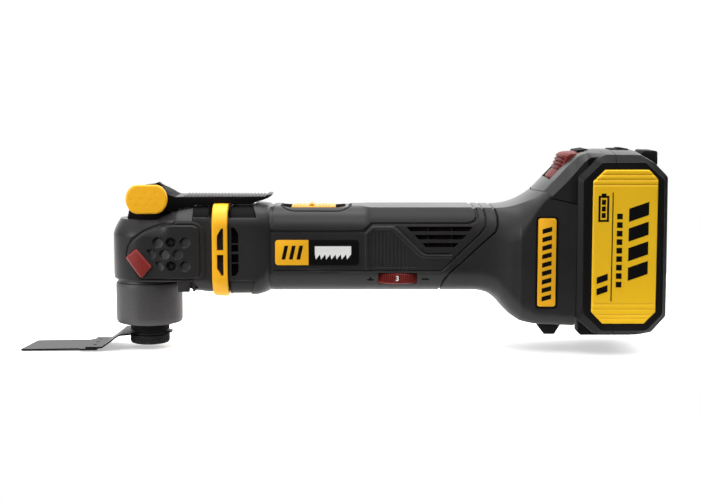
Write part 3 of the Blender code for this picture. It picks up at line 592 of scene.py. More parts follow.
# name, place and size in metres, and power in watts of each light
LIGHTS = (
    ("top_light", (0.13, 0.05, 0.95), (1.1, 0.35), 6.0),
    ("front_light", (-0.85, -0.60, 0.30), (0.4, 0.4), 5.5),
    ("high_front_light", (0.2, -0.75, 0.95), (0.5, 0.4), 2.6),
    ("rear_light", (0.75, 0.55, 0.5), (0.5, 0.6), 2.0),
)
LIGHTS_TARGET = (0.13, 0.0, 0.06)
FLOOR_LOW, FLOOR_HIGH = (-0.4, -0.062), (0.62, 0.36)
FLOOR_GAP = 0.0005


def make_camera():
    """The camera: in front of the tool's left side and a little above it."""
    scene = bpy.context.scene
    scene.view_settings.view_transform = "Standard"
    data = bpy.data.cameras.new("camera")
    data.sensor_width = 36.0
    data.lens = LENS_MM
    data.clip_end = 20.0
    camera = add_object("camera", data)
    rise = math.radians(CAMERA_RISE_DEG)
    back = Vector((0.0, -math.cos(rise), math.sin(rise)))
    camera.location = Vector(CAMERA_TARGET) * MM + back * CAMERA_DISTANCE
    camera.rotation_mode = "QUATERNION"
    camera.rotation_quaternion = (-back).to_track_quat("-Z", "Y")
    scene.camera = camera


def grey_ramp(tree, value, stops):
    return ramp(tree, value, [(place, (level, level, level)) for place, level in stops])


def make_world():
    """A studio sky that lights the tool, with plain white behind it for the camera."""
    world = bpy.data.worlds.new("studio")
    world.use_nodes = True
    tree = world.node_tree
    lit = tree.nodes["Background"]
    seen = add_node(tree, "Background", {}, {"Color": WHITE})
    place = tree.nodes.new("ShaderNodeTexCoord").outputs["Generated"]
    split = add_node(tree, "SeparateXYZ", {"Vector": place}, {})
    sky = grey_ramp(tree, remap(tree, split.outputs["Z"], 0.0, 1.0, -1.0), SKY)
    backdrop = grey_ramp(tree, split.outputs["Y"], BACKDROP)
    tree.links.new(mix_colours(tree, backdrop, sky, BACKDROP_WHITE), lit.inputs["Color"])
    lit.inputs["Strength"].default_value = SKY_STRENGTH
    to_camera = tree.nodes.new("ShaderNodeLightPath").outputs["Is Camera Ray"]
    choices = {"Fac": to_camera, 1: lit.outputs["Background"], 2: seen.outputs["Background"]}
    either = add_node(tree, "MixShader", choices, {})
    tree.links.new(either.outputs["Shader"], tree.nodes["World Output"].inputs["Surface"])
    bpy.context.scene.world = world


def make_lights():
    """The four area lights, all turned to the tool's middle."""
    for name, place, size, power in LIGHTS:
        data = bpy.data.lights.new(name, "AREA")
        data.shape = "RECTANGLE"
        data.size, data.size_y = size
        data.energy = power
        light = add_object(name, data)
        light.location = place
        direction = Vector(LIGHTS_TARGET) - Vector(place)
        light.rotation_mode = "QUATERNION"
        light.rotation_quaternion = direction.to_track_quat("-Z", "Y")


def make_floor():
    """A plain white floor just under the tool."""
    mesh = bpy.data.meshes.new("floor")
    corners = [(x, y, CAD_LOW.z - FLOOR_GAP) for x, y in box_outline(FLOOR_LOW, FLOOR_HIGH)]
    mesh.from_pydata(corners, [], [(0, 1, 2, 3)])
    material, _, shader = new_material("floor_white", 0.9)
    shader.inputs["Base Color"].default_value = (0.93, 0.93, 0.93, 1.0)
    shader.inputs["Specular IOR Level"].default_value = 0.0
    shader.inputs["Emission Color"].default_value = WHITE
    shader.inputs["Emission Strength"].default_value = 0.4
    mesh.materials.append(material)
    add_object("floor", mesh)


# ---------------------------------------------------------------- housing shells
BLOCK_X = HOUSING_LOW.x
RING_X0 = 41.9
RING_X1 = 52.7
GRIP_X = 79.6
END_X = HOUSING_HIGH.x

# x, half width, low, high, sag of the crowned top, half width of the top, shoulder height,
# slope where the shoulder starts (degrees), bottom corner radius
HOUSING_FORM = (
    (BLOCK_X, 24.4, 34.6, 87.9, 0.0, 14.4, 10.0, 0.0, 12.0),
    (RING_X0 - 0.5, 25.0, 33.6, 88.0, 0.0, 14.5, 10.5, 0.0, 12.5),
    (RING_X0 - 0.2, 25.8, 33.8, 85.2, 0.0, 13.8, 12.0, 0.0, 13.0),
    (RING_X1 + 0.2, 25.8, 33.8, 85.2, 0.0, 13.8, 12.0, 0.0, 13.0),
    (RING_X1 + 0.5, 27.7, 32.0, 88.2, 0.0, 15.2, 12.5, 0.0, 14.0),
    (69.5, 27.5, 32.1, 88.2, 0.0, 15.0, 12.5, 0.0, 14.5),
    (74.0, 26.6, 32.9, 88.0, 0.0, 13.5, 13.0, 0.0, 16.0),
    (77.3, 25.2, 33.9, 87.5, 0.0, 11.0, 14.0, 0.0, 18.0),
    (77.9, 24.4, 34.3, 86.9, 0.0, 10.3, 14.0, 0.0, 18.0),
    (79.3, 24.4, 34.3, 86.9, 0.0, 10.3, 14.0, 0.0, 18.0),
    (79.9, 24.9, 34.1, 87.4, 0.0, 9.9, 15.0, 0.0, 19.0),
    (82.0, 25.0, 34.0, 87.7, 0.0, 9.5, 15.5, 0.0, 19.0),
    (133.0, 25.0, 34.0, 87.7, 0.0, 9.5, 15.5, 2.0, 19.5),
    (141.0, 25.0, 34.0, 87.5, 0.3, 19.0, 17.0, 40.0, 19.5),
    (206.0, 25.0, 34.0, 87.5, 0.3, 19.0, 17.0, 40.0, 19.5),
    (212.5, 25.6, 32.9, 87.4, 0.4, 19.0, 17.5, 38.0, 19.0),
    (217.6, 26.8, 29.8, 87.4, 0.5, 19.0, 18.5, 36.0, 18.5),
    (222.0, 28.5, 25.0, 87.7, 0.6, 19.2, 20.0, 34.0, 18.0),
    (227.3, 31.0, 20.0, 88.7, 0.8, 20.0, 22.0, 32.0, 17.0),
    (231.8, 33.0, 17.3, 90.4, 1.1, 21.0, 22.0, 32.0, 15.0),
    (232.6, 33.4, 16.9, 90.8, 1.2, 21.2, 21.5, 32.0, 14.6),
    (237.0, 33.7, 15.8, 93.5, 2.1, 23.0, 15.5, 32.0, 13.0),
    (242.1, 33.8, 15.2, 97.2, 3.3, 25.4, 8.8, 35.0, 10.5),
    (246.8, 33.8, 15.0, 101.9, 4.1, 27.0, 6.5, 38.0, 10.0),
    (250.0, 33.9, 14.9, 105.2, 3.8, 27.0, 7.2, 38.0, 10.0),
    (END_X, 34.0, 14.4, 119.0, 2.5, 27.0, 7.2, 38.0, 9.0),
)
# In side view: the two recesses near the head, and the lines, ribs, dots and vents along the grip.
UPPER_RECESS = ((BLOCK_X - 2.0, 81.3), (70.0, 81.3), (65.0, 96.0), (BLOCK_X - 2.0, 96.0))
LOWER_RECESS = ((RING_X1, 20.0), (RING_X1, 42.0), (69.3, 42.0), (62.0, 20.0))
UPPER_LINE = ((GRIP_X, 72.7), (136.5, 72.7), (141.4, 77.3), (200.5, 77.3), (204.6, 78.7),
              (206.2, 81.5), (205.6, 85.2), (203.6, 88.0), (203.0, 96.0))
LOWER_LINE = ((GRIP_X, 48.1), (184.2, 48.1), (208.3, 71.6), (211.2, 75.6), (211.3, 81.5),
              (210.4, 85.6), (209.0, 88.0), (208.4, 96.0))
REAR_LINE = ((182.9, 30.0), (184.2, 37.3), (185.6, 41.4), (188.6, 45.6), (217.2, 72.3),
             (218.6, 76.0), (218.5, 81.5), (217.4, 85.6), (215.8, 88.0), (215.0, 96.0))
TRIM_LINE = ((138.1, 49.6), (138.1, 71.0), (141.9, 74.6), (154.2, 74.6), (171.2, 58.4),
             (174.6, 57.2), (190.1, 57.2))
TRIM_SHADOW = ((156.6, 75.3), (173.0, 59.6), (175.4, 58.7), (189.0, 58.7))
RIB_FIELD = ((139.4, 50.0), (139.4, 70.6), (142.4, 73.3), (153.6, 73.3), (171.0, 57.0), (178.0, 50.0))
DOT_ROW_Z = 50.7
VENTS = ((162.2, 203.8, 72.7, 75.6), (167.2, 199.8, 67.7, 70.6), (172.0, 195.0, 62.9, 65.6))
# line, width, how far it stands out, width of its edges
HOUSING_LINES = ((UPPER_LINE, 1.5, -0.9, 0.45), (LOWER_LINE, 0.9, -0.8, 0.45), (REAR_LINE, 0.9, -1.2, 0.45),
                 (TRIM_LINE, 1.9, 0.55, 0.7), (TRIM_SHADOW, 0.9, -0.45, 0.45))
RIB_PITCH = 2.3


def section_grid(xs, form, counts, inset=0.0):
    """Rings of half sections from the top seam round the +Y side to the bottom seam."""
    form = np.asarray(form, float)
    half, low, high, sag, top, drop, slope, low_r = (
        curve_through(xs, form[:, 0], form[:, i]) for i in range(1, 9)
    )
    half, low, high, top = half - inset, low + inset, high - inset, top - 0.5 * inset
    slope = np.radians(slope)
    edge = high - sag
    shoulder = edge - drop
    reach = (half - top) / (1.0 - np.sin(slope))
    rise = drop / np.cos(slope)
    across, up = [], []
    for share in np.linspace(0.0, 1.0, counts[0], endpoint=False):
        across.append(top * share)
        up.append(high - sag * share * share)
    for share in np.linspace(0.0, 1.0, counts[1], endpoint=False):
        turn = slope + (math.pi / 2.0 - slope) * share
        across.append(half - reach * (1.0 - np.sin(turn)))
        up.append(shoulder + rise * np.cos(turn))
    for share in np.linspace(0.0, 1.0, counts[2], endpoint=False):
        across.append(half)
        up.append(shoulder + (low + low_r - shoulder) * share)
    for turn in np.radians(np.linspace(0.0, -90.0, counts[3], endpoint=False)):
        across.append(half - low_r + low_r * math.cos(turn))
        up.append(low + low_r + low_r * math.sin(turn))
    for share in np.linspace(0.0, 1.0, counts[4]):
        across.append((half - low_r) * (1.0 - share))
        up.append(low)
    grid = np.stack([np.repeat(xs[None, :], len(up), 0), np.array(across), np.array(up)], axis=-1)
    return grid.transpose(1, 0, 2)


def grid_normals(grid):
    """The outward normals of a grid of points."""
    along = np.gradient(grid, axis=0)
    around = np.gradient(grid, axis=1)
    normals = np.cross(around, along)
    normals /= np.linalg.norm(normals, axis=-1, keepdims=True) + 1e-12
    middle = grid.mean(axis=1, keepdims=True)
    facing = np.sum(normals * (grid - middle), axis=-1).mean()
    return normals if facing > 0.0 else -normals


def full_ring(xs, form, counts, inset=0.0):
    """Rings of whole sections, made from the half sections."""
    half = section_grid(xs, form, counts, inset)
    left = half[:, ::-1].copy()
    left[..., 1] *= -1.0
    return np.concatenate([half, left[:, 1:-1]], axis=1)


def band(distance, width, height, edge):
    """A ridge along a line, or a groove where its height is negative."""
    return height * (1.0 - smooth(width / 2.0 - edge / 2.0, width / 2.0 + edge / 2.0, distance))


def housing_relief(x, z):
    """How far the side of the housing stands out or is sunk, in side view."""
    relief = -1.2 * smooth(-0.25, 0.25, inside_distance(x, z, UPPER_RECESS))
    relief -= 0.9 * smooth(-0.25, 0.25, inside_distance(x, z, LOWER_RECESS))
    for line, width, height, edge in HOUSING_LINES:
        relief += band(line_distance(x, z, line), width, height, edge)
    field = smooth(0.0, 1.0, inside_distance(x, z, RIB_FIELD))
    fade = 1.0 - smooth(158.0, 172.0, x)
    relief += field * (-0.35 + 0.16 * fade * np.cos(2.0 * math.pi * x / RIB_PITCH))
    for number in range(10):
        relief += band(np.hypot(x - (144.8 + 2.55 * number), z - DOT_ROW_Z), 1.0, -0.5, 0.5)
    return relief


def hood_seam(grow):
    """The room that the battery pack's hood takes up, from the seam line upwards."""
    front = [(242.3, 0.0), (242.9, 8.0), (244.0, 15.0), (245.6, 22.0), (247.0, 27.0), (249.9, 33.0),
             (251.5, 36.0), (300.0, 36.0)]
    plan = [(x - grow, y) for x, y in front] + [(x - grow, -y) for x, y in front[:0:-1]]
    room = prism("hood_room", plan, "Z", 60.0, 140.0)
    side = [(230.0, 94.0 - grow), (250.0, 94.0 - grow), (272.0, 89.2 - grow), (300.0, 89.2 - grow),
            (300.0, 150.0), (230.0, 150.0)]
    return combine(room, prism("hood_side", side, "Y", -50.0, 50.0), "INTERSECT")


def housing_half():
    """The right shell: its outer skin with the relief, and its smooth inner wall."""
    xs = spaced(BLOCK_X, END_X, 0.42)
    extra = [RING_X0 - 0.5, RING_X0 - 0.2, RING_X1 + 0.2, RING_X1 + 0.5]
    xs = np.unique(np.round(np.concatenate([xs, extra]), 3))
    counts = [int(n / FINE) for n in (24, 56, 92, 52, 10)]
    outer = section_grid(xs, HOUSING_FORM, counts)
    relief = housing_relief(outer[..., 0], outer[..., 2])
    outer = outer + grid_normals(outer) * relief[..., None]
    outer[:, 0, 1] = 0.0
    outer[:, -1, 1] = 0.0
    inner = section_grid(xs, HOUSING_FORM, (4, 6, 4, 4, 2), WALL)[:, ::-1]
    rear_wall = xs > END_X - 4.0
    inner[rear_wall, :, 0] = END_X - 4.0 - (END_X - xs[rear_wall, None]) * 0.01
    rings = np.concatenate([outer, inner], axis=1)
    rings[..., 1] = np.maximum(rings[..., 1], 0.04)
    return loft("shell_right", rings)


def exhaust_outlines():
    """The openings behind the collar, whose outer corners are cut off."""
    for low, high in ((45.2, 53.1), (53.6, 59.0), (60.4, 64.8), (65.5, 75.4)):
        top_cut = max(0.0, high - 71.6) * 0.64
        low_cut = max(0.0, 48.0 - low) * 0.78
        outline = [(54.6, low), (59.0 - low_cut, low), (59.0, max(low, 48.0)), (59.0, min(high, 71.6)),
                   (59.0 - top_cut, high), (54.6, high)]
        yield [p for i, p in enumerate(outline) if math.dist(p, outline[i - 1]) > 0.05]


def make_housing():
    """Both shells with their openings, the bars behind the vents, and dark sheets behind the vents and the
    exhaust as painted shade.
    """
    right = housing_half()
    tray = rounded_outline(box_outline((84.3, -19.0), (128.8, 19.0)), 9.5, 10)
    carve(right, prism("bezel_room", tray, "Z", 81.0, 95.0),
          block("receiver", (255.9, -21.2), (275.0, 21.2), "Z", 24.0, 130.0), hood_seam(0.6))
    for left_x, right_x, low, high in VENTS:
        slant = high - low
        outline = [(left_x, high), (right_x, high), (right_x - slant, low), (left_x + slant, low)]
        carve(right, prism("vent", rounded_outline(outline, 0.35, 2), "Y", 10.0, 40.0))
    for outline in exhaust_outlines():
        carve(right, prism("exhaust", outline, "Y", 10.0, 40.0))
    left = mirrored(right, "shell_left")
    window = rounded_outline(box_outline((145.1, 39.2), (169.3, 46.9)), 1.1, 4)
    plus = block("mark", (138.4, 41.8), (142.4, 42.7), "Y", -40.0, -20.7)
    weld(plus, block("mark", (139.95, 40.3), (140.85, 44.2), "Y", -40.0, -20.7))
    carve(left, prism("window", window, "Y", -40.0, -10.0), plus,
          block("mark", (172.2, 42.2), (176.6, 43.2), "Y", -40.0, -20.9))
    for piece, node in ((left, "housing_left"), (right, "housing_right")):
        dress(piece, "housing", "body_plastic", node)
        for finish, recess in (("facet_black", UPPER_RECESS), ("pack_plastic", LOWER_RECESS)):
            paint_where(piece, finish, lambda x, y, z: (x < RING_X1 + 20.0)
                        & (inside_distance(x, z, recess) > -0.1))
    for side, label in SIDES:
        # Painted shade: a dark sheet behind each row of vents stands in for the shade inside the grip.
        shade_sheet = block("vent_shade_sheet_" + label, (157.0, 60.6), (209.0, 77.6), "Y", side * 20.9, side * 21.4)
        dress(shade_sheet, "housing", "vent_dark")
        for x in (176.0, 190.6, 203.0):
            bar = block(f"vent_bar_{label}_{int(x)}", (x - 0.5, 61.0), (x + 0.5, 77.4), "Y",
                        side * 21.3, side * 23.2)
            dress(bar, "housing", "trim_plastic")
        # Painted shade: a black sheet behind the exhaust openings stands in for the shade inside the
        # housing.
        exhaust_sheet = block("exhaust_shade_sheet_" + label, (53.2, 43.0), (60.6, 77.6), "Y", side * 22.9, side * 23.6)
        dress(exhaust_sheet, "housing", "print_and_shade_black")


def make_bezel():
    """The tray in the top of the grip that the switch slides in."""
    tray = loft("switch_bezel", full_ring(spaced(82.0, 131.0, 0.6), HOUSING_FORM, (30, 60, 6, 4, 2), 0.5))
    outer = rounded_outline(box_outline((85.0, -18.2), (128.0, 18.2)), 9.0, 12)
    combine(tray, prism("tray_outline", outer, "Z", 81.6, 95.0), "INTERSECT")
    opening = rounded_outline(box_outline((85.6, -13.2), (124.8, 13.2)), 6.0, 10)
    carve(tray, prism("opening", opening, "Z", 83.1, 99.0),
          block("slot", (92.0, -2.8), (111.0, 2.8), "Z", 70.0, 90.0))
    dress(tray, "housing", "body_plastic")
    # Painted shade: the tray's floor and its outer band are painted black for the shade in the recess and in
    # the gap round the tray.
    rim = shrink(outer, 1.3)
    paint_where(tray, "facet_black", lambda x, y, z: (z < 83.4) | (inside_distance(x, y, rim) < 0.0))


def make_slider():
    """The switch's ribbed pad."""
    pad = prism("switch_slider", rounded_outline(box_outline((90.9, -12.4), (118.7, 12.4)), 4.5, 8), "Z",
                83.5, 87.2, 0.8)
    nub = [(101.3, 86.8), (102.9, 88.4), (103.5, 88.8), (104.1, 88.8), (104.7, 88.4), (106.3, 86.8)]
    ribs = [across("nub", nub, 8.5, 0.25)]
    for number in range(4):
        for x in (98.6 - 1.9 * number, 108.8 + 1.9 * number):
            outline = [(x - 0.6, 87.0), (x - 0.3, 87.55), (x + 0.3, 87.55), (x + 0.6, 87.0)]
            ribs.append(across("rib", outline, 8.5, 0.12, 2))
    join(pad, block("stem", (98.3, -2.0), (106.0, 2.0), "Z", 80.0, 84.0), *ribs)
    dress(pad, "slider", "slider_yellow", "switch_slider")


# the same columns as HOUSING_FORM
COLLAR_FORM = (
    (RING_X0 + 0.9, 28.3, 32.6, 88.5, 0.0, 15.0, 13.0, 0.0, 14.0),
    (RING_X0 + 1.3, 28.9, 31.9, 89.0, 0.0, 15.2, 13.2, 0.0, 14.0),
    (RING_X0 + 5.4, 29.4, 31.5, 89.2, 0.0, 15.6, 13.2, 0.0, 14.0),
    (RING_X1 - 0.8, 29.1, 31.3, 89.1, 0.0, 15.2, 13.2, 0.0, 14.0),
    (RING_X1 - 0.4, 28.5, 31.9, 88.6, 0.0, 15.0, 13.0, 0.0, 14.0),
)


def make_collar():
    """The yellow ring with its slanted windows."""
    xs = spaced(RING_X0 + 0.9, RING_X1 - 0.4, 0.4)
    collar = loft("collar_ring", full_ring(xs, COLLAR_FORM, (16, 30, 50, 30, 8)))
    bore_xs = np.array([RING_X0 - 3.0, RING_X0 + 0.1, RING_X1 - 0.1, RING_X1 + 3.0])
    flat = [(x, 28.2, 31.4, 88.0, 0.0, 15.0, 13.0, 0.0, 14.0) for x in bore_xs]
    carve(collar, loft("bore", full_ring(bore_xs, flat, (6, 24, 6, 24, 4), 2.1)))
    for near, far in ((61.4, 75.0), (58.7, 45.6)):
        outline = [(45.9, near), (49.9, near), (49.9, far), (48.6, far), (45.9, near + (far - near) * 0.66)]
        carve(collar, prism("slot", outline, "Y", -40.0, 40.0))
    dress(collar, "housing", "yellow_plastic", "collar_ring")


def merge_painted(name, parts):
    """One object from several solids, each keeping its own finish."""
    shape = bmesh.new()
    for slot, (piece, _) in enumerate(parts):
        first = len(shape.faces)
        shape.from_mesh(piece.data)
        shape.faces.ensure_lookup_table()
        for face in shape.faces[first:]:
            face.material_index = slot
    mesh = bpy.data.meshes.new(name)
    shape.to_mesh(mesh)
    shape.free()
    merged = add_object(name, mesh)
    for piece, finish in parts:
        mesh.materials.append(MATERIALS[finish])
        bpy.data.objects.remove(piece)
    shade(merged, 35.0)
    return merged


def plate(name, outline, face, back, bevel=0.2):
    """A flat plate on the tool's left side, its face at -face."""
    return prism(name, outline, "Y", -face, -back, bevel, 2)


def finish_badge(name, side, parts, low, high):
    """Joins a badge's parts and turns it round where it belongs to the right side."""
    badge = merge_painted(name, parts)
    if side > 0:
        shift(rotate(badge, 180.0, "Z"), low[0] + high[0], 0.0, 0.0)
    stand(badge, "housing", name)


def make_badges():
    """Two-colour badges with a plain saw pictogram instead of lettering."""
    low, high, face = (81.4, 51.8), (133.2, 67.6), 25.35
    base = rounded_outline(box_outline(low, high), 2.0, 6)
    yellow = rounded_outline(box_outline((81.5, 51.9), (102.1, 67.5)), (1.9, 0.3, 0.3, 1.9), 6)
    teeth = [(106.0, 63.6), (106.0, 58.6)]
    for number in range(7):
        x = 106.0 + 3.2 * number
        teeth += [(x + 0.6, 55.4), (x + 3.2, 58.6)]
    teeth += [(128.4, 63.6)]
    for side, label in SIDES:
        parts = [(plate("base", base, face, 24.2), "print_and_shade_black"),
                 (plate("yellow", yellow, face + 0.12, 24.6, 0.05), "yellow_plastic")]
        for number in range(3):
            x = 85.4 + 4.6 * number
            bar = [(x, 55.4), (x + 2.3, 55.4), (x + 4.2, 64.0), (x + 1.9, 64.0)]
            parts.append((plate("bar", bar, face + 0.2, 24.8, 0.0), "print_and_shade_black"))
        parts.append((plate("saw", teeth[::-1], face + 0.2, 24.8, 0.0), "printed_white"))
        finish_badge("badge_" + label, side, parts, low, high)


def make_labels():
    """The tall labels at the rear, with slanted bars instead of lettering."""
    low, high, face, rim = (241.2, 26.3), (254.6, 82.9), 34.45, 1.2
    base = rounded_outline(box_outline(low, high), 1.9, 6)
    inner_ends = (low[0] + rim, low[1] + rim), (high[0] - rim, high[1] - rim)
    inner = rounded_outline(box_outline(*inner_ends), 1.4, 6)
    for side, label in SIDES:
        parts = [(plate("base", base, face, 33.2), "print_and_shade_black"),
                 (plate("yellow", inner, face + 0.12, 33.6, 0.08), "yellow_plastic")]
        for number in range(9):
            z = 30.6 + 5.2 * number
            bar = [(245.0, z), (250.8, z + 1.6), (250.8, z + 4.4), (245.0, z + 2.8)]
            parts.append((plate("bar", bar, face + 0.2, 33.8, 0.0), "print_and_shade_black"))
        finish_badge("rear_label_" + label, side, parts, low, high)


def make_foot():
    outline = [(245.4, 15.6), (245.4, 13.3), (249.6, 6.6), (256.2, 6.6), (260.4, 13.3), (260.4, 15.6)]
    dress(across("rear_foot", outline, 13.4, 0.7), "housing", "rubber", "rear_foot")


def digit_shape(number):
    """A raised digit as a mesh, facing up."""
    curve = bpy.data.curves.new("digit", "FONT")
    curve.body = str(number)
    curve.size = 4.3 * MM
    curve.extrude = 0.2 * MM
    curve.offset = 0.11 * MM
    curve.align_x = "CENTER"
    curve.align_y = "CENTER"
    holder = add_object("digit", curve)
    graph = bpy.context.evaluated_depsgraph_get()
    mesh = bpy.data.meshes.new_from_object(holder.evaluated_get(graph))
    bpy.data.objects.remove(holder)
    return add_object("digit", mesh)


def make_wheel():
    """The speed wheel: fine knurls, broken by a smooth field for each of its digits."""
    centre = (WHEEL_LOW.x + WHEEL_HIGH.x) / 2.0, (WHEEL_LOW.y + WHEEL_HIGH.y) / 2.0
    radius = (WHEEL_HIGH.x - WHEEL_LOW.x) / 2.0
    low, high = WHEEL_LOW.z - 0.6, WHEEL_LOW.z + 6.0
    profile = [(0.05, low), (radius - 0.9, low), (radius - 0.3, low + 0.25), (radius, low + 0.9)]
    profile += [(radius, z) for z in np.linspace(low + 1.3, high - 1.3, 6)]
    profile += [(radius, high - 0.9), (radius - 0.3, high - 0.25), (radius - 0.9, high), (0.05, high)]
    eighth = math.pi / 4.0

    def knurls(angle, height):
        cut = (0.5 + 0.5 * np.cos(96.0 * angle)) ** 0.8
        turns = [angle + math.pi / 2.0 + (k - 3) * eighth + math.pi for k in range(1, 7)]
        nearest = np.min([np.abs(turned_by % (2.0 * math.pi) - math.pi) for turned_by in turns], axis=0)
        return -0.5 * cut * smooth(0.055, 0.08, nearest) * smooth(low + 0.1, low + 0.8, height)

    wheel = turned("speed_wheel", profile, centre, 768 if FINE == 1.0 else 384, knurls, 40.0)
    stub = [(0.05, low + 1.0), (3.0, low + 1.0), (3.0, 52.0), (0.05, 52.0)]
    weld(wheel, turned("stub", stub, centre, 32))
    parts = [(wheel, "wheel_red")]
    for number in range(1, 7):
        digit = rotate(digit_shape(number), 90.0, "X")
        shift(digit, 0.0, -(radius + 0.02), (low + high) / 2.0)
        rotate(digit, -(number - 3) * 45.0, "Z")
        shift(digit, centre[0], centre[1], 0.0)
        parts.append((digit, "printed_white"))
    stand(merge_painted("speed_wheel", parts), "wheel", "speed_wheel")


# ---------------------------------------------------------------- battery pack
# In side view: the flat border of the pack's sides, its whole body, and its yellow side panels.
BORDER = ((269.3, 105.3), (280.0, 116.0), (306.2, 116.2), (318.2, 105.4), (318.7, 23.0), (309.2, 12.8),
          (281.4, 12.6), (270.0, 23.4))
PACK_BODY = ((265.9, 106.6), (276.6, 119.6), (282.6, 122.5), (303.6, 122.3), (312.9, 117.0), (320.8, 107.0),
             (321.5, 21.4), (312.6, 11.4), (303.4, 9.8), (285.0, 9.8), (277.0, 11.0), (266.2, 20.0))
PACK_PANEL = ((274.7, 104.4), (281.9, 111.5), (308.4, 111.5), (313.9, 105.6), (314.0, 24.6), (307.0, 17.5),
              (281.8, 17.5), (274.9, 24.6))
PACK_SIDE = 38.0
BUTTON_HALF = 17.6


def shrink(outline, amount):
    """An outline moved inwards by an even amount."""
    points = [Vector(p) for p in outline]
    area = sum(a.x * b.y - b.x * a.y for a, b in zip(points, points[1:] + points[:1]))
    turn = -1.0 if area > 0.0 else 1.0
    moved = []
    for i, here in enumerate(points):
        before = (here - points[i - 1]).normalized()
        after = (points[(i + 1) % len(points)] - here).normalized()
        normal_a = Vector((before.y, -before.x)) * turn
        normal_b = Vector((after.y, -after.x)) * turn
        middle = (normal_a + normal_b).normalized()
        moved.append(tuple(here + middle * (amount / max(0.3, middle.dot(normal_a)))))
    return moved


# depth, share of the way from border to body, how far it is drawn in, sag of the top
PACK_LEVELS = (
    (PACK_SIDE, 0.0, 0.3, 0.0), (PACK_SIDE - 0.4, 0.0, 0.0, 0.0), (PACK_SIDE - 1.4, 0.02, 0.0, 0.0),
    (34.4, 0.92, 0.0, 1.6), (33.6, 1.0, 0.0, 2.0), (32.9, 1.0, 0.0, 2.1), (32.7, 1.0, 0.9, 2.1),
    (32.0, 1.0, 0.9, 2.1), (31.8, 1.0, 0.0, 2.0), (25.0, 1.0, 0.0, 1.1), (17.0, 1.0, 0.0, 0.4),
    (8.0, 1.0, 0.0, 0.05),
)


def pack_block(name, inset, count=240):
    """The pack's case: a bevelled frame at each side of a crowned middle."""
    border = resample(rounded_outline(shrink(BORDER, inset), 2.6, 6), count)
    body = resample(rounded_outline(shrink(PACK_BODY, inset), 3.2, 6), count)
    start = np.argmin(np.hypot(border[:, 0] - body[0, 0], border[:, 1] - body[0, 1]))
    border = np.roll(border, -start, axis=0)
    rings = []
    for side in (-1, 1):
        for depth, share, pull, sag in PACK_LEVELS[::-side]:
            ring = border * (1.0 - share) + body * share
            middle = ring.mean(axis=0)
            ring = middle + (ring - middle) * (1.0 - pull / 40.0)
            ring[:, 1] -= sag * smooth(106.0, 118.0, ring[:, 1])
            rings.append(placed(ring, "Y", side * depth * (PACK_SIDE - inset) / PACK_SIDE))
    return loft(name, rings, 28.0)


# The hood's top line, rim and side wall in side view.
HOOD_TOP = ((242.2, 97.2), (250.7, 105.9), (258.0, 112.9), (265.0, 119.2), (269.0, 121.6), (274.0, 122.6),
            (284.0, 122.4))
HOOD_RIM = ((242.2, 93.0), (246.8, 97.6), (253.5, 105.1), (259.6, 111.8), (267.0, 119.0), (270.5, 120.6),
            (274.0, 121.0), (284.0, 120.6))
HOOD_WALL = ((242.2, 86.6), (249.7, 94.2), (258.3, 102.6), (265.9, 110.9), (270.4, 116.2), (274.1, 118.6),
             (284.0, 119.0))


def hood():
    """The part of the pack that rises from the tool's back to the pack's top."""
    rings = []
    for x in spaced(242.2, 284.0, 0.9):
        top, rim, wall = (float(np.interp(x, *np.array(line).T)) for line in (HOOD_TOP, HOOD_RIM, HOOD_WALL))
        half = float(np.interp(x, (262.0, 266.0), (33.4, 32.3)))
        ring = [(x, half, 84.0), (x, half, wall - 0.3), (x, half - 0.3, wall + 0.1)]
        ring += [(x, y, top + (rim - top) * (y / 27.0) ** 2) for y in np.linspace(27.0, -27.0, 29)]
        ring += [(x, 0.3 - half, wall + 0.1), (x, -half, wall - 0.3), (x, -half, 84.0)]
        rings.append(ring)
    return combine(loft("hood", rings, 24.0), hood_seam(0.0), "INTERSECT")


def make_pack():
    """The pack's two cases, cut from one block with its hood, rail, contacts and pocket."""
    pack = pack_block("pack_block", 0.0)
    weld(pack, hood())
    room = pack_block("pack_room", WALL, 120)
    weld(pack, block("rail", (257.0, -20.2), (268.5, 20.2), "Z", 25.5, 93.0))
    carve(pack, room)
    for y in (-8.0, 0.0, 8.0):
        carve(pack, block("contact", (250.0, y - 1.4), (264.5, y + 1.4), "Z", 20.0, 52.0))
    pocket = [(250.6, 104.6), (245.0, 110.0), (245.0, 130.0), (272.6, 130.0), (272.6, 115.0), (259.8, 98.4),
              (257.0, 98.4)]
    carve(pack, across("button_pocket", pocket, BUTTON_HALF + 0.4))
    seat = rounded_outline(shrink(PACK_PANEL, -0.25), 1.2, 4)
    for side in (-1, 1):
        carve(pack, prism("panel_seat", seat, "Y", side * (PACK_SIDE - 0.9), side * 45.0))
    inner = shrink(BORDER, 0.2)
    for label, start, end in (("front", 200.0, SPLIT_X - 0.14), ("rear", SPLIT_X + 0.14, 400.0)):
        case = add_object("pack_case_" + label, pack.data.copy())
        combine(case, block("half", (start, -60.0), (end, 60.0), "Z", -20.0, 150.0), "INTERSECT")
        shade(case, 28.0)
        dress(case, "battery", "pack_plastic", "pack_case_" + label)
        paint_where(case, "trim_plastic", lambda x, y, z: (np.abs(y) > PACK_SIDE - 1.0)
                    & (inside_distance(x, z, inner) > -0.6))
        # Painted shade: the faces in the groove round the pack's sides are painted black.
        paint_where(case, "print_and_shade_black", lambda x, y, z: (np.abs(y) > 31.75) & (np.abs(y) < 33.0)
                    & (x > 266.0))
        paint_where(case, "hood_plastic", lambda x, y, z: (x < 272.0) & (np.abs(y) < 33.8)
                    & (z > 88.0) & (inside_distance(x, z, PACK_BODY) < 1.5))
    bpy.data.objects.remove(pack)


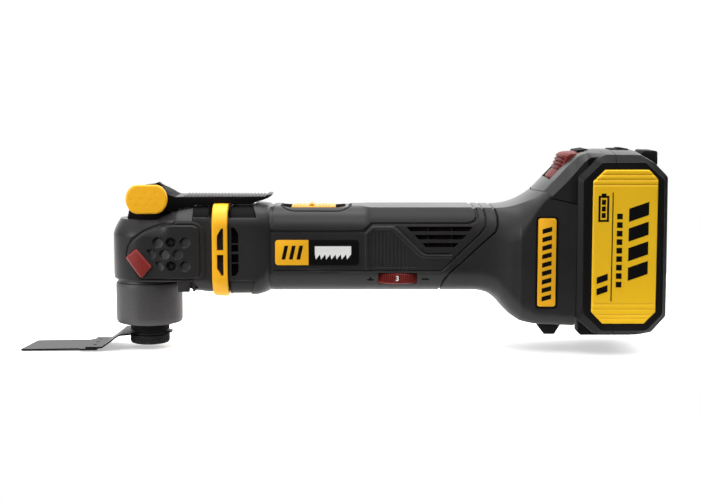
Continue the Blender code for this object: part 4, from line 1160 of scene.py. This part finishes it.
def panel_marks():
    """Plain marks instead of the pack's printing: a rule, bars, a battery sign and stripes."""
    marks = [box_outline((286.4, 31.4), (287.0, 97.8))]
    marks += [box_outline((289.4, z), (292.8, z + 3.4)) for z in [40.0 + 5.2 * n for n in range(9)]]
    marks += [box_outline((278.0, 80.0), (284.4, 81.2)), box_outline((278.0, 94.6), (284.4, 95.8)),
              box_outline((278.0, 81.2), (279.2, 94.6)), box_outline((283.2, 81.2), (284.4, 94.6)),
              box_outline((279.8, 95.8), (282.6, 97.2))]
    marks += [box_outline((280.0, z), (282.4, z + 3.0)) for z in [82.4 + 4.0 * n for n in range(3)]]
    marks += [[(277.8, z), (284.4, z + 2.4), (284.4, z + 6.4), (277.8, z + 4.0)] for z in (35.0, 42.0)]
    for z in [44.0 + 12.0 * n for n in range(4)]:
        marks.append([(296.6, z), (308.6, z + 4.2), (308.6, z + 12.2), (296.6, z + 8.0)])
    return marks


PANEL_GROOVES = (102.3, 105.4, 108.4, 29.6, 26.4, 22.9, 20.6)


def panel_depth(x, z):
    """How far a pack panel's face stands from the middle of the tool."""
    depth = np.full(np.shape(x), 39.0)
    for line in PANEL_GROOVES:
        depth -= 0.4 * np.exp(-((z - line) / 0.42) ** 2)
    return depth - 0.7 * (1.0 - smooth(0.0, 0.9, inside_distance(x, z, PACK_PANEL))) ** 2


def make_pack_panels():
    """The pack's yellow side panels with their marks."""
    outline = rounded_outline(PACK_PANEL, 1.1, 4)
    grid_x, grid_z = grid_over(outline, 0.72, 0.45)
    back = np.full(grid_x.shape, 0.7 - PACK_SIDE)
    for side, label in SIDES:
        panel = trimmed_sheet("panel", outline, grid_x, grid_z, -panel_depth(grid_x, grid_z), back)
        parts = [(panel, "pack_yellow")]
        parts += [(plate("mark", mark, 39.12, 38.4, 0.0), "print_and_shade_black") for mark in panel_marks()]
        done = merge_painted("pack_panel_" + label, parts)
        if side > 0:
            flip_side(done.data)
        stand(done, "battery", "pack_panel_" + label)


def make_pack_trim():
    """The pack's foot and bumper, and the small parts on its top."""
    foot = [(272.0, 15.4), (272.1, 6.5), (273.6, 5.1), (305.4, 5.1), (306.3, 6.0), (306.3, 10.4),
            (280.0, 11.0)]
    stop = [(309.0, 119.6), (309.8, 121.9), (318.0, 121.8), (318.9, 121.0), (319.0, 113.4), (316.0, 110.0)]
    for name, outline, half in (("pack_foot", foot, 8.0), ("pack_bumper", stop, 12.0)):
        dress(across(name, outline, half, 0.6), "battery", "rubber", name)
    wedge = [(268.4, 120.6), (268.6, 122.1), (274.6, 123.0), (275.8, 122.0), (273.6, 119.6), (270.2, 119.6),
             (269.8, 121.3)]
    slab = [(289.4, 121.8), (290.0, 123.0), (301.2, 123.0), (302.0, 121.8)]
    knob = [(294.4, 122.8), (295.0, 123.55), (298.0, 123.55), (298.8, 122.8)]
    lid = across("pack_lid", wedge, 13.0, 0.25)
    join(lid, across("slab", slab, 8.0, 0.25), across("knob", knob, 5.0, 0.2))
    dress(lid, "battery", "facet_black")


def make_button():
    """The release button: a flat lip at its front, then four rounded ridges up a steep face."""
    profile = [(251.0, 104.6), (251.1, 106.2), (254.2, 109.6), (255.0, 110.2)]
    corner = Vector((255.5, 110.5))
    # up the steep face, and straight out of it
    along, out = Vector((0.379, 0.926)), Vector((-0.926, 0.379))
    ridges, ridge_pitch, ridge_height, points_each = 4, 2.4, 1.15, 7
    for number in range(ridges):
        for share in np.arange(points_each) / points_each:
            place = corner + along * (0.3 + ridge_pitch * (number + share))
            profile.append(tuple(place + out * (ridge_height * math.sin(math.pi * share) ** 0.6)))
    profile += [(259.6, 120.4), (261.4, 120.9), (264.0, 121.1), (268.0, 121.3), (269.4, 121.2)]
    upper = len(profile)
    profile += [(269.6, 117.0), (258.0, 101.6), (254.4, 101.6)]
    half = BUTTON_HALF
    rings = []
    for y in np.concatenate([[-half], np.linspace(0.4 - half, half - 0.4, 41), [half]]):
        share = abs(y) / half
        end = 0.5 * (share > 0.999)
        flat = smooth(0.74, 0.80, share)
        ring = []
        for index, (x, z) in enumerate(profile):
            if 4 <= index < upper - 5:
                place = Vector((x, z))
                lift = (place - corner).dot(out)
                x, z = tuple(place + out * ((0.75 - lift) * flat))
            if index < upper:
                x += 3.6 * share ** 2 * (x < 262.0) + end
                z -= 0.9 * share ** 2 + end
            ring.append((x, y, z))
        rings.append(ring)
    button = loft("release_button", rings, 24.0)
    for side in (-1, 1):
        for number in range(1, 4):
            x, z = 255.5 + 0.91 * number + 1.6, 110.6 + 2.22 * number
            outline = [(x - 3.0, z - 0.2), (x + 2.0, z - 1.2), (x + 2.4, z - 0.3), (x - 2.6, z + 0.7)]
            carve(button, prism("slot", outline, "Y", side * (half * 0.76), side * (half * 0.88)))
    dress(button, "button", "button_red", "release_button")


FINISHES = {
    "stator": "windings", "rotor_core": "steel", "control_board": "board", "pack_board": "board",
    "cell_holder": "trim_plastic", "switch_body": "trim_plastic", "speed_control": "trim_plastic",
    "terminal_block": "trim_plastic", "rocker_fork": "cast_metal", "cooling_fan": "trim_plastic",
}


def finish_cad_nodes():
    """Better finishes for the CAD nodes that stay as they are."""
    for name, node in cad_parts.items():
        finish = FINISHES.get(name, "cell_wrap" if name.startswith("cell_pair") else "steel")
        for slot in range(len(node.data.materials)):
            node.data.materials[slot] = MATERIALS[finish]


def make_spring():
    """A copy of the clamp spring, with a mesh of its own."""
    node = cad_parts["clamp_spring"]
    spring = add_object("release_spring", node.data.copy())
    spring.matrix_world = node.matrix_world.copy()
    dress(spring, "housing", "steel", "clamp_spring")
    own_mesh(spring)


# ---------------------------------------------------------------- head
HEAD_CENTRE = 2.2
HEAD_HALF = HEAD_HIGH.y
HEAD_REAR = HEAD_HIGH.x
HEAD_BASE = HEAD_LOW.z
HEAD_FLAT = 79.3
# In side view: the raised side panel, its flat face, and what is set into it.
SIDE_PANEL = ((-1.0, 43.0), (-10.7, 55.0), (-10.7, 58.8), (-9.5, 63.6), (-6.7, 67.5), (0.0, 72.2),
              (7.0, 75.4), (11.0, 76.4), (19.7, 76.6), (20.4, 78.9), (30.7, 78.9), (34.6, 77.7),
              (37.4, 75.2), (38.6, 71.8), (38.6, 47.2), (37.6, 44.6), (34.4, 43.0))
PANEL_FACE = ((-1.0, 43.4), (-10.0, 55.0), (-10.0, 58.8), (-8.9, 63.2), (-6.3, 66.9), (0.2, 71.6),
              (7.1, 74.8), (11.0, 75.8), (19.7, 76.3), (30.6, 76.3), (33.6, 75.1), (34.8, 71.6),
              (34.8, 47.2), (33.6, 44.6), (30.5, 43.4))
DIMPLES = ((9.1, 65.8), (25.9, 65.8), (4.7, 58.5), (13.2, 58.5), (21.5, 58.5), (9.5, 51.1), (25.9, 51.1))
SCREWS = ((17.3, 65.8), (17.3, 51.1))
DIMPLE_R = 3.15
ACCENT_EDGE = ((0.2, 63.5), (9.6, 50.0))
ACCENT = ((-11.5, 56.3), (-4.2, 62.2), (5.6, 51.0), (-1.5, 43.4))


def head_half(x, z, offset=0.0):
    """The head's half width at a place in side view."""
    rise = np.clip((z - 69.0) / (HEAD_FLAT - 69.0), 0.0, 1.3)
    inset = 4.7 * rise ** 1.5 * (1.0 - smooth(10.0, 22.0, x))
    radius = HEAD_HALF - inset + offset
    front = np.maximum(HEAD_CENTRE - x, 0.0)
    return np.sqrt(np.maximum(radius ** 2 - front ** 2, 0.0))


def head_shell(name, offset, low, high, rear, relief=False):
    """The head's round-fronted form as rings up the Z axis."""
    side_xs = np.linspace(rear, HEAD_CENTRE, 60)
    angles = np.radians(np.linspace(90.0, 270.0, 150))[1:-1]
    rings = []
    for z in spaced(low, high, 0.7 if relief else 3.0):
        flank = head_half(side_xs, z, offset)
        radius = head_half(HEAD_CENTRE, z, offset)
        if relief:
            foot = 1.0 - smooth(low, low + 0.7, z)
            flank, radius = flank - 0.4 * foot, radius - 0.4 * foot
            sunk = smooth(-0.9, -0.45, inside_distance(side_xs, np.full(60, z), SIDE_PANEL))
            flank = flank - 0.8 * sunk
        front_x = HEAD_CENTRE + radius * np.cos(angles)
        front_y = radius * np.sin(angles)
        if relief:
            sunk = smooth(-0.9, -0.45, inside_distance(front_x, np.full(len(angles), z), SIDE_PANEL))
            front_x, front_y = front_x - 0.8 * sunk * np.cos(angles), front_y - 0.8 * sunk * np.sin(angles)
        xs = np.concatenate([side_xs, front_x, side_xs[::-1]])
        ys = np.concatenate([flank, front_y, -flank[::-1]])
        rings.append(np.stack([xs, ys, np.full(len(xs), z)], axis=1))
    return loft(name, rings)


def saddle():
    """The slope from the head's flat top up to the motor housing."""
    rings = []
    foot = 79.0
    for x, top in ((5.4, 78.1), (16.2, 84.1), (20.3, 84.3), (20.9, 84.9), (HEAD_REAR, 86.5)):
        base = float(head_half(x, foot))
        shoulder = base - max(top - foot, 0.2) * 1.13
        low = min(foot, top - 0.4)
        rings.append([(x, base - 0.4, 74.0), (x, base, low), (x, shoulder, top),
                      (x, -shoulder, top), (x, -base, low), (x, 0.4 - base, 74.0)])
    return loft("saddle", rings)


def make_head():
    """The head cover, its tabs and the notched slab under its rear edge, which is black as painted shade in
    the notch.
    """
    cover = head_shell("head_cover", 0.0, HEAD_BASE + 0.3, HEAD_FLAT, HEAD_REAR, True)
    round_top = saddle()
    round_edges(round_top, 0.7)
    weld(cover, round_top)
    carve(cover, head_shell("head_room", -WALL, HEAD_BASE - 3.0, HEAD_FLAT - WALL, HEAD_REAR + 4.0),
          turned("rod_hole", [(3.6, 70.0), (3.6, 90.0)], steps=32))
    tab = [(20.9, 34.8), (28.3, 34.8), (29.0, 45.0), (20.9, 45.0)]
    notch = [(28.2, 41.0), (30.4, 35.0), (31.4, 35.0), (31.4, 42.0)]
    for side, label in SIDES:
        weld(cover, prism("tab", tab, "Y", side * 21.5, side * (HEAD_HALF - 0.2), 0.5))
        rib = prism("notch_rib_" + label, notch, "Y", side * 16.0, side * 22.6)
        dress(rib, "housing", "body_plastic")
    # Painted shade: a black slab under the head's rear edge stands in for the shade in the notch.
    slab = block("notch_slab", (27.0, 36.6), (33.0, 48.0), "Y", -20.6, 20.6)
    carve(slab, prism("slab_room", arc((0.0, MOTOR_Z), 18.4, 0.0, 355.0, 71), "X", 20.0, 40.0))
    dress(slab, "housing", "print_and_shade_black")
    dress(cover, "housing", "body_plastic", "head_cover")


def make_bracket():
    """The bracket on the head's flat top that carries the lever's pin."""
    base = [(-11.9, HEAD_FLAT), (8.6, HEAD_FLAT), (8.6, 82.4), (-11.2, 82.4)]
    bracket = across("lever_bracket", base, 9.8, 0.5)
    ear = [(-11.7, 80.0), (-10.6, 84.8), (-7.4, 90.0)]
    ear += arc((0.0, LEVER_Z), 7.4, 160.0, 0.0, 12) + [(8.4, 84.0), (8.4, 80.0)]
    for side in (-1, 1):
        weld(bracket, prism("ear", ear, "Y", side * 6.0, side * 9.8, 0.3))
    heel = [(8.0, 78.6), (15.4, 78.6), (15.4, 84.0), (10.0, 83.5), (8.0, 82.4)]
    weld(bracket, across("heel", heel, 9.8))
    carve(bracket, block("rod_slot", (-6.4, 78.0), (6.0, 90.0), "Y", -5.8, 5.8))
    dress(bracket, "housing", "trim_plastic")


def skin(name, outline, offset_at, back, pitch=0.42):
    """A sheet over the head's left side, thick from back to offset_at, trimmed to an outline."""
    grid_x, grid_z = grid_over(outline, pitch, pitch)
    base = head_half(grid_x, grid_z)
    base = base + np.maximum(24.75 - base, 0.0) * smooth(8.0, 18.0, grid_x)
    return trimmed_sheet(name, outline, grid_x, grid_z, -base - offset_at(grid_x, grid_z), -base - back)


def panel_offset(x, z):
    """How far the side panel stands out from the head."""
    face = inside_distance(x, z, PANEL_FACE)
    offset = 0.5 + 0.7 * smooth(-0.5, 0.5, face) - 0.35 * np.exp(-((face + 0.35) / 0.3) ** 2)
    edge = inside_distance(x, z, SIDE_PANEL)
    offset -= 0.45 * (1.0 - smooth(0.0, 0.9, edge))
    # Dimples stop at the accent's edge: this is how far a place lies beyond it.
    (ax, az), (bx, bz) = ACCENT_EDGE
    length = math.hypot(bx - ax, bz - az)
    beyond = ((x - ax) * (az - bz) + (z - az) * (bx - ax)) / length
    for cx, cz in DIMPLES:
        inside = np.minimum(DIMPLE_R - np.hypot(x - cx, z - cz), beyond)
        tilt = 0.55 - 0.45 * ((x - cx) * 0.8 - (z - cz) * 0.6) / DIMPLE_R
        offset -= 1.7 * tilt * smooth(-0.12, 0.25, inside)
    for cx, cz in SCREWS:
        offset -= 1.35 * smooth(-0.12, 0.2, 3.3 - np.hypot(x - cx, z - cz))
    return offset


def accent_offset(x, z):
    """How far the red accent stands out from the head."""
    return 2.9 - 1.5 * (1.0 - smooth(-0.2, 1.3, inside_distance(x, z, ACCENT))) ** 1.5


def panel_screw(name, angle):
    """A cross-head screw that faces the tool's left side."""
    profile = [(0.05, -1.2), (2.7, -1.2), (2.75, -0.35), (2.35, 0.0), (0.05, 0.0)]
    head = turned(name, profile, steps=48)
    for quarter in (0.0, 90.0):
        slot = block("slot", (-1.75, -0.42), (1.75, 0.42), "Z", -0.75, 1.0)
        carve(head, rotate(slot, quarter + angle, "Z"))
    return rotate(head, 90.0, "X")


def make_head_trim():
    """The raised side panels with their dimples, screws and red accents."""
    panel = skin("side_panel_left", SIDE_PANEL, panel_offset, -0.4)
    grown = [(x + (x + 2.9) * 0.05, z + (z - 53.2) * 0.04) for x, z in ACCENT]
    carve(panel, prism("accent_seat", rounded_outline(grown, 1.6, 5), "Y", -60.0, -4.0))
    accent = skin("accent_left", rounded_outline(ACCENT, 1.4, 5), accent_offset, -0.3, 0.35)
    for side, label in SIDES:
        for number, (x, z) in enumerate(SCREWS, 1):
            name = f"panel_screw_{label}_{number}"
            head = panel_screw(name, 12.0 * number)
            if side > 0:
                rotate(head, 180.0, "Z")
            shift(head, x, side * (HEAD_HALF + 0.75), z)
            dress(head, "housing", "screw_black", name)
            level = side * (HEAD_HALF + 0.3)
            paint_where(head, "cross_grey", lambda px, py, pz: (np.hypot(px - x, pz - z) < 1.9)
                        & (side * (py - level) < 0.2))
    for piece, kind, finish in ((panel, "side_panel_", "body_plastic"), (accent, "accent_", "red_plastic")):
        dress(mirrored(piece, kind + "right"), "housing", finish, kind + "right")
        dress(piece, "housing", finish, kind + "left")


def make_nose():
    """The gear case: its nose, the neck inside the head and the tube towards the motor."""
    profile = [(12.8, 13.4), (12.8, 12.6), (18.4, 12.6), (20.2, 13.2), (20.9, 14.6), (21.0, 20.0),
               (21.0, 37.4), (20.7, 38.6), (19.9, 39.0), (19.7, 39.5), (19.6, 41.0),
               (18.6, 41.6), (18.6, 67.0), (14.5, 75.5)]
    case = turned("gear_case", denser(profile, 2.0), steps=160)
    tube = prism("tube", arc((0.0, MOTOR_Z), 18.0, 0.0, 357.5, 143), "X", 12.0, 44.5)
    weld(case, tube)
    room = [(12.6, 10.0), (12.6, 15.2), (13.0, 15.2), (13.0, 24.0), (15.6, 24.0), (15.6, 66.0),
            (13.0, 66.0), (13.0, 73.0), (3.4, 73.0), (3.4, 80.0)]
    carve(case, turned("case_room", room, steps=96),
          prism("tube_room", arc((0.0, MOTOR_Z), 15.3, 0.0, 356.0, 89), "X", -2.0, 38.5),
          prism("bearing_seat", arc((0.0, MOTOR_Z), 8.3, 0.0, 355.0, 71), "X", 30.0, 50.0))
    dress(case, "housing", "cast_metal", "gear_case")


# ---------------------------------------------------------------- tool holder, clamp and blade
def make_holder():
    """The ring that holds the blade, scalloped at its lower edge."""
    holder = [(7.8, 8.2), (10.5, 8.2), (10.5, 7.3), (10.5, 6.5), (11.3, 6.4), (11.6, 6.6), (11.7, 7.0),
              (11.8, 7.6), (12.3, 8.0), (12.3, 12.5), (12.3, 14.9), (7.8, 14.9)]


    def scallops(angle, height):
        return -0.5 * (height < 7.3) * (0.5 + 0.5 * np.cos(30.0 * angle)) ** 2

    ring = turned("tool_holder", holder, steps=360, radius_at=scallops)
    carve(ring, block("blade_way", (-20.0, 5.0), (-5.0, 8.1), "Y", -10.3, 10.3),
          block("tail_way", (8.0, 5.0), (20.0, 8.1), "Y", -7.0, 7.0))
    dress(ring, "spindle", "facet_black", "tool_holder")


def make_knob():
    """The clamp's fluted knob and its stem."""
    knob = [(0.05, -0.6), (10.8, -0.6), (11.8, -0.2), (12.3, 0.5), (12.5, 1.4), (12.5, 4.3), (12.3, 4.9),
            (11.6, 5.3), (11.2, 5.5), (11.2, 6.4), (3.6, 6.4), (3.6, 30.0), (0.05, 30.0)]

    def flutes(angle, height):
        reach = smooth(-0.2, 0.6, height) * (1.0 - smooth(4.2, 4.9, height))
        return -0.42 * reach * (0.5 + 0.5 * np.cos(48.0 * angle)) ** 1.5

    piece = turned("clamp_knob", denser(knob, 0.7, 10.0), steps=384, radius_at=flutes)
    dress(piece, "clamp", "trim_plastic", "clamp_knob")


# The mounting plate's half width along the blade, from its rear edge to the saw's end.
MOUNT_X = (-37.6, -30.0, -27.5, -23.0, -17.5, -12.0, -9.0, -6.5, 7.0, 9.0, 12.6, 13.8, 14.2)
MOUNT_HALF = (18.0, 18.0, 18.0, 17.9, 17.4, 14.6, 10.6, 8.2, 7.2, 6.4, 5.2, 3.4, 2.2)
SAW_START, SAW_END = -30.5, -77.4
TEETH = 23
TEETH_HALF = 16.5


def strip(name, rows, thickness):
    """A flat strip through rows of place, level, half width and slant."""
    rings = []
    for place, base, half, slant in rows:
        rings.append([(place + slant * y, y, base + up) for y, up in
                      ((-half, 0.0), (half, 0.0), (half, thickness), (-half, thickness))])
    return loft(name, rings, 24.0)


def saw_teeth():
    """The outline that cuts the teeth into the saw's front edge, in plan view."""
    outline = []
    for number in range(TEETH + 1):
        y = -TEETH_HALF + 2.0 * TEETH_HALF * number / TEETH
        outline.append((-77.7 + 0.12 * y, y))
        if number < TEETH:
            y += 0.85
            outline.append((-76.0 + 0.12 * y, y))
    return outline + [(-84.0, 17.2), (-84.0, -17.2)]


def make_blade():
    """The offset saw: a bent mounting plate laid over a toothed saw plate."""
    flange, low, thick, bend, slope = 6.0, BLADE_LOW.z + 0.6, 1.1, 2.6, 0.69
    angles = np.linspace(0.0, slope, 6)
    path = [(14.2, flange)]
    path += [(-16.4 - bend * math.sin(a), flange - bend + bend * math.cos(a)) for a in angles]
    path += [(-28.6 + bend * math.sin(a), low + thick + bend - bend * math.cos(a)) for a in angles[::-1]]
    path += [(-37.6, low + thick)]
    along, height = np.array(path).T
    stations = np.concatenate([np.linspace(14.2, -16.0, 36), np.linspace(-16.6, -29.0, 34),
                               np.linspace(-29.6, -37.6, 12)])
    heights = np.interp(stations, along[::-1], height[::-1])
    halves = np.interp(stations, MOUNT_X, MOUNT_HALF)
    slants = np.interp(stations, (-37.6, -27.5, -17.5), (0.04, 0.02, 0.0))
    blade = strip("saw_blade", zip(stations, heights, halves, slants), thick)
    rows = []
    for place in np.linspace(SAW_START, SAW_END, 60):
        share = (SAW_START - place) / (SAW_START - SAW_END)
        half = 17.9 if place > -41.0 else 16.0 + 0.2 * share
        rows.append((place, low - 0.7 * share, half, 0.04 + 0.08 * share))
    saw = strip("saw_plate", rows, thick)
    carve(saw, prism("teeth", saw_teeth(), "Z", low - 3.0, low + 3.0))
    weld(blade, saw)
    holes = [turned("blade_hole", [(4.2, 3.0), (4.2, 12.0)], steps=48)]
    for y in (-10.0, 0.0, 10.0):
        holes.append(turned("spot", [(1.3, low + 1.95), (1.3, low + 4.0)], (-33.6, y), 24))
    carve(blade, *holes)
    dress(blade, "clamp", "blade_steel", "saw_blade")
    whole_x = (-78.0, -41.1, -41.0) + MOUNT_X
    whole_half = (16.2, 16.0, 17.9) + MOUNT_HALF
    paint_where(blade, "facet_black",
                lambda x, y, z: np.abs(y) > np.interp(x, whole_x, whole_half) - 0.25)


# ---------------------------------------------------------------- lever
def taper(piece, outline):
    """Cuts away an outline in plan view at both of a piece's sides."""
    for side in (-1, 1):
        carve(piece, prism("taper", [(x, side * y) for x, y in outline], "Z", 80.0, 110.0))


def lever_cam():
    """The cam under the lever, whose radius grows as the lever lifts."""
    cam = [(10.0, LEVER_Z + 6.5)]
    for share in np.linspace(1.0, 0.0, 24):
        angle = math.radians(270.0 - 130.0 * share)
        radius = 8.0 + 2.5 * share
        cam.append((radius * math.cos(angle), LEVER_Z + radius * math.sin(angle)))
    return cam + [(5.5, LEVER_Z - 6.0), (10.0, LEVER_Z - 3.0)]


def make_lever():
    """The lever: its hub, its long arm with ribs on top, and its cam."""
    hub = [(-8.6, 88.6), (-7.8, 86.6), (-4.4, 83.8), (0.0, 82.9), (4.0, 83.2), (9.0, 84.1), (20.4, 85.1),
           (21.0, 85.9), (23.5, 86.4), (23.5, 93.3), (19.4, 93.3), (17.3, 93.9), (11.1, 97.2), (8.5, 98.3),
           (6.4, 99.6), (5.4, 100.5), (4.5, 100.6), (3.4, 100.1), (2.0, 99.6), (-0.7, 99.3), (-4.3, 98.8),
           (-7.2, 96.8), (-9.0, 93.2)]
    lever = across("quick_lever", hub, 19.2)
    arm = [(10.0, 84.7), (20.4, 85.1), (21.0, 85.9), (30.2, 87.4), (31.0, 88.3), (41.6, 88.3), (42.0, 89.6),
           (53.4, 89.6), (53.8, 88.6), (66.6, 88.7), (68.6, 89.8), (73.3, 91.2), (76.9, 92.6), (78.6, 93.7),
           (78.9, 94.3), (78.3, 94.7), (76.2, 94.5), (74.8, 93.4), (19.0, 93.4), (14.0, 95.4), (10.0, 97.0)]
    taper(lever, [(14.5, 40.0), (14.5, 19.3), (17.5, 17.0), (24.0, 15.6), (70.0, 13.4), (90.0, 12.4),
                  (90.0, 40.0)])
    bar = across("arm", arm, 16.5)
    taper(bar, [(8.0, 40.0), (8.0, 16.4), (24.0, 15.6), (70.0, 13.4), (76.5, 12.2), (79.0, 9.0), (82.0, 4.0),
                (90.0, 40.0)])
    weld(lever, bar)
    carve(lever, block("fork", (-20.0, -10.5), (8.8, 10.5), "Z", 70.0, 110.0))
    round_edges(lever, 0.9, 2, 30.0)
    weld(lever, across("cam", lever_cam(), 5.4))
    carve(lever, across("hole", arc((0.0, LEVER_Z), 3.3, 0.0, 352.5, 47), 60.0))
    ribs = []
    for number in range(25):
        x = 24.2 + 2.1 * number
        outline = [(x, 93.0), (x + 0.3, 93.95), (x + 1.1, 93.95), (x + 1.4, 93.0)]
        ribs.append(across("rib", outline, 13.6 - 1.7 * number / 24.0, 0.2, 2))
    join(lever, *ribs)
    shade(lever, 40.0)
    dress(lever, "lever", "facet_black", "quick_lever")
    # Painted highlight: the top of the lever's arm, which faces up, is painted lighter grey.
    paint_where(lever, "top_highlight_grey", lambda x, y, z: (z > 93.3) & (x > 22.0))


def cap_dimples(x, z, centre):
    """How deep the rows of small dimples in a cap's face are."""
    depth = np.zeros(len(x))
    for row in range(-1, 2):
        for column in range(-2, 3):
            spot_x = centre[0] + 6.0 * (column + 0.5 * (row % 2 == 0))
            spot_z = centre[1] - 0.3 + 3.9 * row
            depth += 0.16 * np.exp(-((x - spot_x) ** 2 + (z - spot_z) ** 2) / 0.9)
    return depth


def make_caps():
    """The lever's two yellow end caps. The far one is smaller, so that it hides behind the near one."""
    centre = np.array((2.1, 92.3))
    outline = []
    for start, sign in ((90.0, -1.0), (270.0, 1.0)):
        outline += [(sign * 5.6 + 7.3 * math.cos(a), 8.95 * math.sin(a))
                    for a in np.radians(np.linspace(start, start + 180.0, 49))]
    outline = resample(outline, 180)
    profile = [(0.97, 19.5), (0.975, 20.6), (1.0, 20.9), (1.0, 21.9), (0.988, 22.35), (0.962, 22.62),
               (0.93, 22.75)]
    profile += [(s, 22.8 + 0.35 * (1.0 - s * s)) for s in np.linspace(0.9, 0.02, 34)]
    for side, label, whole in ((-1, "left", 1.0), (1, "right", 0.72)):
        rings = []
        for size, depth in profile:
            ring = outline * size * whole + centre
            depths = np.full(len(ring), depth)
            if size < 0.86:
                depths -= cap_dimples(ring[:, 0], ring[:, 1], centre)
            rings.append(np.stack([ring[:, 0], side * depths, ring[:, 1]], axis=1))
        dress(loft("lever_cap_" + label, rings, 50.0), "lever", "yellow_plastic", "lever_cap_" + label)


# ---------------------------------------------------------------- run
make_camera()
make_world()
make_lights()
make_floor()
make_housing()
make_bezel()
make_slider()
make_collar()
make_badges()
make_labels()
make_foot()
make_wheel()
make_pack()
make_pack_panels()
make_pack_trim()
make_button()
make_head()
make_bracket()
make_head_trim()
make_nose()
make_holder()
make_knob()
make_blade()
make_lever()
make_caps()
finish_cad_nodes()
make_spring()
